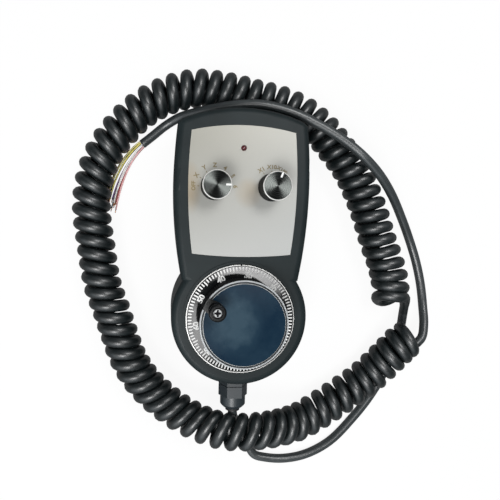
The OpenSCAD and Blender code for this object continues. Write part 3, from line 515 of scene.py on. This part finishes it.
def pin_finish(centre, high):
    """A screw head: a lighter ring on its top painted as its highlight, a dark middle, and painted shade
    below its top, in its recess.
    """
    mat, tree, bsdf = new_material("crank_screw")
    r, z, _, _ = polar(tree, centre)
    # Painted shade: everything below the head's top, its cross recess too, is near black.
    upper = rise(tree, z, high - 0.05, 0.10)
    # Painted highlight: a lighter ring on the head's top.
    ring = product(tree, rise(tree, r, SCREW_HIGHLIGHT_RING[0], 0.3), rise(tree, r, SCREW_HIGHLIGHT_RING[1], -0.3))
    face_color = mix(tree, ring, (0.03, 0.03, 0.032), (0.30, 0.31, 0.31))
    tree.links.new(mix(tree, upper, (0.008, 0.008, 0.009), face_color), bsdf.inputs["Base Color"])
    grain = noise(tree, coordinates(tree), 4000, 2)
    tree.links.new(spread(tree, grain, 0.28, 0.42), bsdf.inputs["Roughness"])
    bsdf.inputs["Metallic"].default_value = 1.0
    return mat


def gloss_black(name, rough, specular=0.5):
    """A glossy black moulding with faint smears."""
    mat, tree, bsdf = new_material(name)
    smear = noise(tree, coordinates(tree), 260, 5, 0.65)
    color = shades(tree, smear, (0.004, 0.0045, 0.005), (0.009, 0.010, 0.0105))
    tree.links.new(color, bsdf.inputs["Base Color"])
    tree.links.new(spread(tree, smear, rough * 0.8, rough * 1.2), bsdf.inputs["Roughness"])
    bsdf.inputs["Specular IOR Level"].default_value = specular
    return mat


def paint(finishes):
    """Gives CAD nodes their materials."""
    for mat, names in finishes:
        for name in names.split():
            data = nodes[name].data
            data.materials.clear()
            data.materials.append(mat)


def centre_of(name):
    """Centre of a node's box in plan, in millimetres."""
    low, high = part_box(name)
    return (low[0] + high[0]) / 2 / MM, (low[1] + high[1]) / 2 / MM


def top_of(name):
    """The highest point of a node, in millimetres."""
    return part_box(name)[1][2] / MM


def radius_of(name):
    """The outer radius of a round node about the wheel's axis, in millimetres."""
    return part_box(name)[1][0] / MM


axis_at = centre_of("axis_knob")
scale_at = centre_of("scale_knob")
crank_at = centre_of("crank_knob")
dial_top = top_of("dial_ring")
plate_top = top_of("face_plate")
SWITCH_METAL = (0.60, 0.60, 0.58)

paint([
    (plastic, "front_shell rear_shell"),
    (plate_finish(), "face_plate"),
    (red_lens, "led_lens"),
    (steel, "housing_screws board_screws encoder_studs encoder_nuts terminal_screws wheel_screw led_leads"),
    (dark_steel, "axis_knob_grub scale_knob_grub"),
    (pin_finish(crank_at, top_of("crank_pin")), "crank_pin"),
    (brass, "threaded_inserts gland_locknut switch_pins"),
    (board, "switch_board encoder_pcb"),
    (dark_plastic, "axis_switch_body scale_switch_body optical_head"),
    (cast, "encoder_body detent_wheel"),
    (glass, "code_disc"),
    (green, "terminal_block"),
    (ink, "axis_knob_pointer scale_knob_pointer"),
    (gland_black, "gland_body gland_nut"),
    (seal_black, "gland_seal gland_washer shell_gasket"),
    (jacket, "cable_inner_end"),
    (turned_metal("switch_metal_a", SWITCH_METAL, axis_at),
     "axis_switch_bushing axis_switch_nut axis_shaft"),
    (turned_metal("switch_metal_b", SWITCH_METAL, scale_at),
     "scale_switch_bushing scale_switch_nut scale_shaft"),
    (turned_metal("encoder_metal", (0.58, 0.59, 0.60), WHEEL_AT),
     "encoder_shaft front_bearing rear_bearing detent_spring"),
    (bezel_finish(radius_of("bezel_ring")), "bezel_ring"),
    (knob_finish("axis_knob_finish", axis_at, top_of("axis_knob")), "axis_knob"),
    (knob_finish("scale_knob_finish", scale_at, top_of("scale_knob")), "scale_knob"),
    (cap_finish(top_of("wheel_cap"), radius_of("wheel_cap"), radius_of("cap_disc")), "wheel_cap"),
    (disc_finish(), "cap_disc"),
    (gloss_black("dial_gloss", 0.10), "dial_ring"),
    (gloss_black("crank_gloss", 0.15, 0.12), "crank_knob"),
    (foot_black, "crank_foot"),
])


# ---------------------------------------------------------------- cord (millimetres)

# Radii of the strand in the coil and of the straight stretches, and the coil's outer radius
WIRE_R = 3.5
STRAIGHT_R = 2.75
COIL_R = 11.5
TURNS = 77
# Points to a turn, and how many are left out at each end of the coil
TURN_POINTS = 24
END_SKIP = 4
# Sides of the round tubes: the cord, a core and its bare end
CORD_SIDES = 14
CORE_SIDES = 10
BARE_SIDES = 8
# Where on its circle the first turn starts, as a share of a turn
COIL_PHASE = 0.30
# The strand near the tail's end that reaches forward: its turns from the end, and how far it reaches
LAST_STRAND = 0.8
LAST_REACH = 8.5
# Spacing of the points on the coil's centre line, and how many on each side give its direction
AXIS_STEP = 0.5
AXIS_REACH = 14
# How far the coil's strand stays off the floor
FLOOR_GAP = 0.02
# Spacing of the points of the straight stretches
STRAIGHT_STEP = 1.6
# The point past the tail's and the lead's end where the strand starts to thicken, and over how many it does
TAPER_START = 6
TAPER_POINTS = 8
# The coil's centre line from the lead's end to the tail's, with the coil's outer height at each point
COIL_ROUTE = [
    (112.5, -17.5, 17.5, 23), (108.5, -19, 17.5, 23), (103, -24.5, 17.2, 23), (95, -35.5, 13.5, 23),
    (84.5, -46.5, 11.5, 23), (71, -56, 11.5, 23), (59, -64, 11.5, 23), (43.5, -71.5, 14, 22),
    (31, -73, 18.5, 20), (18, -72.8, 23.5, 17), (4, -72.2, 26.5, 15), (-8, -72, 23.5, 17),
    (-20, -70, 17.5, 20), (-36, -62.4, 12.5, 22), (-54, -46, 11.5, 23), (-63, -32, 11.5, 23),
    (-69, -16, 11.5, 23), (-74, -1, 11.5, 23), (-79, 13, 11.5, 23), (-83, 36, 11.5, 23),
    (-86, 61, 11.5, 23), (-84, 78, 11.5, 23), (-79, 92, 11.5, 23), (-70, 105.5, 11.5, 23),
    (-59, 117, 11.5, 23), (-44, 126.5, 11.5, 23), (-26, 132, 11.5, 23), (-6, 131, 11.5, 23),
    (9, 128, 11.5, 23), (25, 124.8, 11.5, 23), (39.5, 119.3, 11.5, 23), (52.3, 110, 11.5, 23),
    (62.5, 99, 11.5, 23), (72, 87, 11.5, 23), (79, 74, 11.5, 23), (85, 60, 11.5, 23),
    (91, 43, 11.5, 23), (97, 28, 11.5, 23), (100.5, 14, 11.5, 23), (100.5, 7, 11.5, 23),
]
# The tail, from the gland to the coil
TAIL_ROUTE = [
    (0, -59.5, 22), (0, -60.7, 22), (0.4, -63.2, 20.9), (0.9, -65.4, 18.7), (1.5, -67.3, 15.4),
    (2.1, -68.8, 12), (3, -70.7, 8.6), (4.4, -73.8, 5.6), (7, -79, 3.4), (10.5, -86, 2.8),
    (14.5, -94, 2.8), (18, -98.4, 2.8), (24, -100.2, 2.8), (37, -101.3, 2.8), (52, -98.6, 2.8),
    (67.5, -90.4, 2.8), (82.5, -75, 2.8), (93.5, -60.7, 2.8), (102, -46, 2.8), (110, -26, 2.8),
    (113, -13, 3.2), (112.5, -5, 6),
]
# The lead: it leaves the coil's end, lies on the coil round the housing's upper end and ends at the cores
LEAD_ROUTE = [
    (118.75, -22, 13.5), (122.5, -18.5, 12.3), (125, -11, 9.5),
    (126.3, 0, 5), (125, 15, 3), (121.5, 29, 2.8), (116.2, 43, 3.4), (107, 58.8, 8.4), (96.4, 72, 16.4),
    (85, 83.2, 23.6), (74.6, 92.2, 26.6), (66, 99, 26.6), (55, 106, 26.6), (45, 111, 26.6),
    (35, 115.4, 26.6), (25, 118.6, 26.2), (11.5, 121, 25.4), (-2, 120.6, 23.6),
    (-15.3, 118.8, 19.6), (-26, 117.4, 13.4), (-34.5, 115.6, 7.4), (-43, 111, 3.4),
    (-51, 104.4, 2.8), (-57, 99.5, 2.8),
]
# Share of the coil's length, then the spacing of its turns and how far their outer side runs ahead
COIL_SPACING = [
    (0, 5.6, 0.0), (0.02, 6.6, 0.0), (0.05, 8.2, 0.0), (0.14, 8.3, 0.05), (0.20, 8.5, 0.15),
    (0.27, 8.5, 0.24), (0.32, 7.6, 0.26), (0.38, 7.5, 0.24), (0.45, 7.8, 0.20), (0.53, 8.3, 0.18),
    (0.60, 8.4, 0.10), (0.68, 8.0, 0.02), (0.78, 8.0, 0.0), (0.85, 7.5, 0.0), (0.965, 7.9, 0.0),
    (0.98, 6.8, 0.0), (1.0, 5.8, 0.0),
]


def table_value(rows, at, column):
    """A column of a table between the two rows round at."""
    for a, b in zip(rows, rows[1:]):
        if at <= b[0]:
            return a[column] + (b[column] - a[column]) * ((at - a[0]) / (b[0] - a[0]))
    return rows[-1][column]


def coil_turns(length):
    """The turn reached at each of these lengths along the coil, TURNS at the last."""
    turns = [0.0]
    for a, b in zip(length, length[1:]):
        middle = (b + a) / 2 / length[-1]
        turns.append(turns[-1] + (b - a) / table_value(COIL_SPACING, middle, 1))
    grow = TURNS / turns[-1]
    return [t * grow for t in turns]


def coil_points():
    """Centre line of the coil, left-handed round its route, from the lead's end to the tail's."""
    axis = spline(COIL_ROUTE, AXIS_STEP)
    last = len(axis) - 1
    length = [0.0]
    for a, b in zip(axis, axis[1:]):
        length.append(length[-1] + distance(a, b))
    turns = coil_turns(length)
    wide = COIL_R - WIRE_R
    out = []
    i = 0
    for k in range(END_SKIP, TURNS * TURN_POINTS - END_SKIP + 1):
        turn = k / TURN_POINTS
        while i < last - 1 and turns[i + 1] < turn:
            i += 1
        f = (turn - turns[i]) / (turns[i + 1] - turns[i])
        a, b = axis[i], axis[i + 1]
        centre = Vector(a[:3]).lerp(Vector(b[:3]), f)
        high = (a[3] + (b[3] - a[3]) * f) / 2 - WIRE_R
        before = Vector(axis[max(i - AXIS_REACH, 0)][:3])
        after = Vector(axis[min(i + 1 + AXIS_REACH, last)][:3])
        ahead = (after - before).normalized()
        out_side = Vector((0, 0, 1)).cross(ahead).normalized()
        up = ahead.cross(out_side)
        share = (length[i] + (length[i + 1] - length[i]) * f) / length[-1]
        lean = table_value(COIL_SPACING, share, 2)
        angle = 2 * pi * (turn + COIL_PHASE)
        point = centre + out_side * (wide * sin(angle)) + up * (high * cos(angle))
        point += ahead * (lean * wide * sin(angle))
        from_last = turn - (TURNS - LAST_STRAND)
        if abs(from_last) < 0.5:
            point += ahead * (LAST_REACH * cos(pi * from_last) ** 4)
        point.z = max(point.z, WIRE_R + FLOOR_GAP)
        out.append(point)
    return out


def make_cord():
    """The whole cord as one strand: tail, coil and lead, joined by short arcs."""
    coil = coil_points()
    coil.reverse()
    tail = [Vector(p) for p in spline(TAIL_ROUTE, STRAIGHT_STEP)]
    lead = [Vector(p) for p in spline(LEAD_ROUTE, STRAIGHT_STEP)]
    to_coil = bridge(tail[-1], tail[-1] - tail[-2], coil[0], coil[1] - coil[0])
    to_lead = bridge(coil[-1], coil[-1] - coil[-2], lead[0], lead[1] - lead[0])
    points = tail + to_coil + coil + to_lead + lead
    first = len(tail)
    last = len(points) - len(lead)
    radii = []
    slots = []
    for i in range(len(points)):
        inside = min(i - first, last - i)
        share = min(max((inside - TAPER_START) / TAPER_POINTS, 0), 1)
        radii.append(STRAIGHT_R + (WIRE_R - STRAIGHT_R) * share)
        slots.append(1 if inside > 0 else 0)
    bm = bmesh.new()
    sweep(bm, points, radii, CORD_SIDES, slots)
    obj = new_object("cord", bm, [jacket, rubber])
    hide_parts("cord_tail", "curly_cord", "cord_lead")
    return obj, points


# Where the bundle of cores starts, bends and ends, and its spread there for each millimetre across it
CORE_START, START_SPREAD = Vector((-57.2, 99.3)), Vector((-0.63, 0.77))
CORE_BEND, BEND_SPREAD = Vector((-70.3, 88)), Vector((-1.35, 0.9))
CORE_TIP, TIP_SPREAD = Vector((-77.2, 62.5)), Vector((-1.75, 0.3))
CORE_R = 0.5
# Where the four cores of a layer lie across the bundle
CORE_COLUMNS = (-1.9, -0.8, 0.8, 1.9)
CORE_SEGMENTS = 32
# Height between two layers of cores, and of the middle of the lowest layer at its tips
LAYER_STEP = 1.15
TIP_Z = 0.6
# How far each layer's tips lie to the right of the layer below, and how far a tip strays along x and y
LAYER_SHIFT = 0.9
STRAY = (0.6, 3)
# Radius and length of a core's bare end, and how far it starts inside the core
BARE_R = 0.28
BARE_LENGTH = 2.2
BARE_INSIDE = 0.3
BARE_SEGMENTS = 4
CORE_COLORS = [
    ("brown", (0.20, 0.07, 0.03)), ("violet", (0.22, 0.12, 0.32)), ("blue", (0.04, 0.12, 0.34)),
    ("green", (0.04, 0.24, 0.10)), ("red", (0.36, 0.07, 0.07)), ("grey", (0.22, 0.23, 0.23)),
    ("black", (0.02, 0.02, 0.02)), ("orange", (0.62, 0.26, 0.06)), ("pink", (0.74, 0.42, 0.42)),
    ("white", (0.80, 0.78, 0.76)), ("yellow", (0.66, 0.58, 0.14)), ("cream", (0.72, 0.66, 0.30)),
]


def core_points(column, layer):
    """One core's centre line: the fan opens from the jacket's end and bends down over the floor."""
    across = CORE_COLUMNS[column]
    wave = sin(radians(97 * column + 140 * layer))
    a = CORE_START + START_SPREAD * across
    b = CORE_BEND + BEND_SPREAD * across
    c = CORE_TIP + TIP_SPREAD * across + Vector((LAYER_SHIFT * layer + STRAY[0] * wave, STRAY[1] * wave))
    z0 = STRAIGHT_R + (layer - 1) * LAYER_STEP
    z1 = TIP_Z + layer * LAYER_STEP
    out = []
    for k in range(CORE_SEGMENTS + 1):
        t = k / CORE_SEGMENTS
        flat = a * (1 - t) ** 2 + b * 2 * t * (1 - t) + c * t ** 2
        out.append(Vector((flat.x, flat.y, z0 + (z1 - z0) * t)))
    return out


def bare_end(bm, points, slot):
    """The copper that shows at the end of a core."""
    along = (points[-1] - points[-2]).normalized()
    start = points[-1] - along * BARE_INSIDE
    line = [start + along * (BARE_LENGTH * k / BARE_SEGMENTS) for k in range(BARE_SEGMENTS + 1)]
    sweep(bm, line, [BARE_R] * len(line), BARE_SIDES, [slot] * len(line))


def make_cores():
    """The stripped cores, each a colour of its own, with bare copper ends."""
    bm = bmesh.new()
    mats = []
    copper = finish("bare_copper", (0.72, 0.38, 0.22), 0.35, 1.0)
    for i, (name, color) in enumerate(CORE_COLORS):
        mats.append(finish("core_" + name, color, 0.35, grain=2500, cloud=400))
        points = core_points(i % len(CORE_COLUMNS), i // len(CORE_COLUMNS))
        sweep(bm, points, [CORE_R] * len(points), CORE_SIDES, [i] * len(points))
        bare_end(bm, points, len(CORE_COLORS))
    mats.append(copper)
    obj = new_object("cores", bm, mats)
    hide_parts("core_wires")
    return obj


cores = make_cores()
cord, cord_path = make_cord()


# ---------------------------------------------------------------- dial marks and labels (millimetres)

# The printed ink lies between these heights over what it is printed on
INK_LOW = 0.01
INK_HIGH = 0.04
# The dial: angle of its number 30, one division, and the radii and width of the division lines
THIRTY_AT = 80.9
DIVISION = 3.6
DIAL_START = THIRTY_AT - 30 * DIVISION
LONG_INNER_R = 26.0
SHORT_INNER_R = 26.8
LINE_OUTER_R = 28.9
LINE_WIDE = 0.74
NUMBER_R = 24.3
NUMBER_SIZE = 4.5
# How much the strokes of the numbers and of the labels are thickened
NUMBER_BOLD = 0.18
WORD_BOLD = 0.10
# The position marks on the plate: length, width and height, and how far they lie from the switch
MARK_SIZE = (1.0, 0.35, 0.04)
MARK_R = 8.75
# For each switch: its marks' angles, its words, their sizes and their radius
AXIS_MARKS = (180, 150, 120, 90, 60, 30, 0)
AXIS_WORDS = ("OFF", "X", "Y", "Z", "4", "5", "6")
AXIS_SIZES = (2.9, 3.3, 3.3, 3.3, 3.3, 3.3, 3.3)
AXIS_WORD_R = 11.3
SCALE_MARKS = (120, 90, 60)
SCALE_WORDS = ("X1", "X10", "X100")
SCALE_WORD_ANGLES = (121, 90, 59)
SCALE_SIZES = (3.2, 3.1, 2.8)
SCALE_WORD_R = 11.0


def dial_marks():
    """The hundred divisions, printed on the dial."""
    bm = bmesh.new()
    for i in range(100):
        angle = radians(DIAL_START + i * DIVISION)
        inner = LONG_INNER_R if i % 5 == 0 else SHORT_INNER_R
        corners = []
        for z in (dial_top + INK_LOW, dial_top + INK_HIGH):
            for r, side in ((inner, -1), (inner, 1), (LINE_OUTER_R, 1), (LINE_OUTER_R, -1)):
                off = side * LINE_WIDE / 2
                at = (r * cos(angle) - off * sin(angle), r * sin(angle) + off * cos(angle), z)
                corners.append(bm.verts.new(Vector(at) * MM))
        bm.faces.new(corners[0:4])
        bm.faces.new(corners[4:8])
        for k in range(4):
            n = (k + 1) % 4
            bm.faces.new((corners[k], corners[n], corners[n + 4], corners[k + 4]))
    return new_object("dial_divisions", bm, [ink], "handwheel")


def word(name, text, size, at, turn, mat, body, bold):
    """A printed word, centred on a point, as a thin solid."""
    curve = bpy.data.curves.new(name, "FONT")
    curve.body = text
    curve.size = size * MM
    curve.align_x = "CENTER"
    curve.align_y = "CENTER"
    curve.extrude = (INK_HIGH - INK_LOW) / 2 * MM
    curve.offset = bold * MM
    curve.resolution_u = 4
    holder = bpy.data.objects.new(name, curve)
    mesh = bpy.data.meshes.new_from_object(holder)
    bpy.data.objects.remove(holder)
    bpy.data.curves.remove(curve)
    middle = Vector((at[0], at[1], at[2] + (INK_LOW + INK_HIGH) / 2)) * MM
    mesh.transform(Matrix.Translation(middle) @ Matrix.Rotation(turn, 4, "Z"))
    mesh.materials.clear()
    mesh.materials.append(mat)
    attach(link(name, mesh), body)


def dial_numbers():
    """A number at every tenth division, upright when it stands at the top."""
    for number in range(0, 100, 10):
        angle = radians(DIAL_START + number * DIVISION)
        at = (NUMBER_R * cos(angle), NUMBER_R * sin(angle), dial_top)
        word("dial_number_%d" % number, str(number), NUMBER_SIZE, at, angle - pi / 2, ink,
             "handwheel", NUMBER_BOLD)


def position_marks(name, centre, angles):
    """Short lines on the plate that show a switch's positions."""
    bm = bmesh.new()
    at = Matrix.Translation(Vector((*centre, plate_top + INK_LOW + MARK_SIZE[2] / 2)) * MM)
    off = Matrix.Translation(Vector((MARK_R, 0, 0)) * MM)
    size = Matrix.Diagonal((*(s * MM for s in MARK_SIZE), 1))
    for a in angles:
        bmesh.ops.create_cube(bm, size=1, matrix=at @ Matrix.Rotation(radians(a), 4, "Z") @ off @ size)
    return new_object(name, bm, [brown_ink])


def switch_words(switch, texts, centre, angles, reach, sizes):
    """A switch's labels, which follow its arc."""
    for text, a, size in zip(texts, angles, sizes):
        at = (centre[0] + reach * cos(radians(a)), centre[1] + reach * sin(radians(a)), plate_top)
        word(switch + "_label_" + text, text, size, at, radians(a - 90), brown_ink, "housing", WORD_BOLD)


dial_marks()
dial_numbers()
switch_words("axis", AXIS_WORDS, axis_at, AXIS_MARKS, AXIS_WORD_R, AXIS_SIZES)
position_marks("axis_position_marks", axis_at, AXIS_MARKS)
switch_words("scale", SCALE_WORDS, scale_at, SCALE_WORD_ANGLES, SCALE_WORD_R, SCALE_SIZES)
position_marks("scale_position_marks", scale_at, SCALE_MARKS)


# ---------------------------------------------------------------- floor, light and background

# How much of the floor's look is glow, and how bright mirrors see that glow
FLOOR_GLOW = 0.92
FLOOR_MIRRORED = 0.20
FLOOR_DROP = 0.1
FLOOR_HALF = 3000
# Height of the area lights, which all point straight down
LIGHT_Z = 1000
# The room by the height of the direction, from the horizon at 0 to straight up at 1
ROOM_STOPS = [
    (0.0, (0.12, 0.13, 0.14)), (0.20, (0.34, 0.375, 0.40)), (0.42, (0.90, 0.96, 1.0)),
    (0.62, (0.90, 0.95, 0.98)), (0.77, (0.28, 0.29, 0.30)), (0.86, (0.05, 0.052, 0.056)),
]
ROOM_STRENGTH = 1.35
# The room's weaker bright side lies in this direction, its stronger one opposite; between them it is dim
WEAK_SIDE_AT = 55
WEAK_SIDE = 0.4
ROOM_DIM = 0.18


def add_floor():
    """A floor that looks white to the camera and still shows shadows."""
    bm = bmesh.new()
    bmesh.ops.create_grid(bm, x_segments=1, y_segments=1, size=FLOOR_HALF * MM)
    mesh = bpy.data.meshes.new("floor")
    bm.to_mesh(mesh)
    bm.free()
    obj = link("floor", mesh)
    mat, tree, bsdf = new_material("floor")
    bsdf.inputs["Base Color"].default_value = (0.9, 0.9, 0.9, 1)
    bsdf.inputs["Roughness"].default_value = 0.9
    bsdf.inputs["Specular IOR Level"].default_value = 0
    glow = tree.nodes.new("ShaderNodeEmission")
    glow.inputs["Color"].default_value = (1, 1, 1, 1)
    path = tree.nodes.new("ShaderNodeLightPath")
    seen = path.outputs["Is Camera Ray"]
    mirrored = path.outputs["Is Glossy Ray"]
    tree.links.new(total(tree, seen, product(tree, mirrored, FLOOR_MIRRORED)), glow.inputs["Strength"])
    blend = tree.nodes.new("ShaderNodeMixShader")
    glows = product(tree, calculate(tree, "MAXIMUM", seen, mirrored), FLOOR_GLOW)
    tree.links.new(glows, blend.inputs["Fac"])
    tree.links.new(bsdf.outputs["BSDF"], blend.inputs[1])
    tree.links.new(glow.outputs["Emission"], blend.inputs[2])
    tree.links.new(blend.outputs["Shader"], tree.nodes["Material Output"].inputs["Surface"])
    mesh.materials.append(mat)
    obj.location.z = -FLOOR_DROP * MM


def add_area(name, x, y, size_x, size_y, power):
    """A light of this size in millimetres, over a point of the floor."""
    data = bpy.data.lights.new(name, "AREA")
    data.shape = "RECTANGLE"
    data.size = size_x * MM
    data.size_y = size_y * MM
    data.energy = power
    link(name, data).location = Vector((x, y, LIGHT_Z)) * MM


def add_world():
    """A room with a bright band on two opposite sides; the camera sees plain white instead."""
    world = bpy.data.worlds.new("world")
    scene.world = world
    world.use_nodes = True
    tree = world.node_tree
    room = tree.nodes["Background"]
    split = tree.nodes.new("ShaderNodeSeparateXYZ")
    tree.links.new(tree.nodes.new("ShaderNodeTexCoord").outputs["Generated"], split.inputs["Vector"])
    band = ramp(tree, split.outputs["Z"], ROOM_STOPS)
    x = split.outputs["X"]
    y = split.outputs["Y"]
    turn = radians(WEAK_SIDE_AT)
    along = total(tree, product(tree, x, cos(turn)), product(tree, y, sin(turn)))
    flat = total(tree, square_sum(tree, x, y), 0.02)
    # 1 in the direction of the two bright sides and 0 across them
    share = quotient(tree, product(tree, along, along), flat)
    toward = quotient(tree, along, calculate(tree, "SQRT", flat))
    side = fit(tree, toward, -1, 1, 1, WEAK_SIDE)
    lit = product(tree, fit(tree, share, 0.1, 0.8, ROOM_DIM, 1), side)
    tree.links.new(mix(tree, lit, (0, 0, 0), band), room.inputs["Color"])
    room.inputs["Strength"].default_value = ROOM_STRENGTH
    white = tree.nodes.new("ShaderNodeBackground")
    white.inputs["Color"].default_value = (1, 1, 1, 1)
    white.inputs["Strength"].default_value = 1.0
    path = tree.nodes.new("ShaderNodeLightPath")
    blend = tree.nodes.new("ShaderNodeMixShader")
    tree.links.new(path.outputs["Is Camera Ray"], blend.inputs["Fac"])
    tree.links.new(room.outputs["Background"], blend.inputs[1])
    tree.links.new(white.outputs["Background"], blend.inputs[2])
    tree.links.new(blend.outputs["Shader"], tree.nodes["World Output"].inputs["Surface"])


add_floor()
add_world()
add_area("left_box", -310, -390, 440, 440, 8.0)
add_area("right_box", 320, 490, 440, 440, 5.7)
add_area("top_panel", 176, -88, 170, 86, 0.52)
add_area("left_panel", 45, -235, 76, 140, 0.28)

scene.view_settings.view_transform = "Standard"
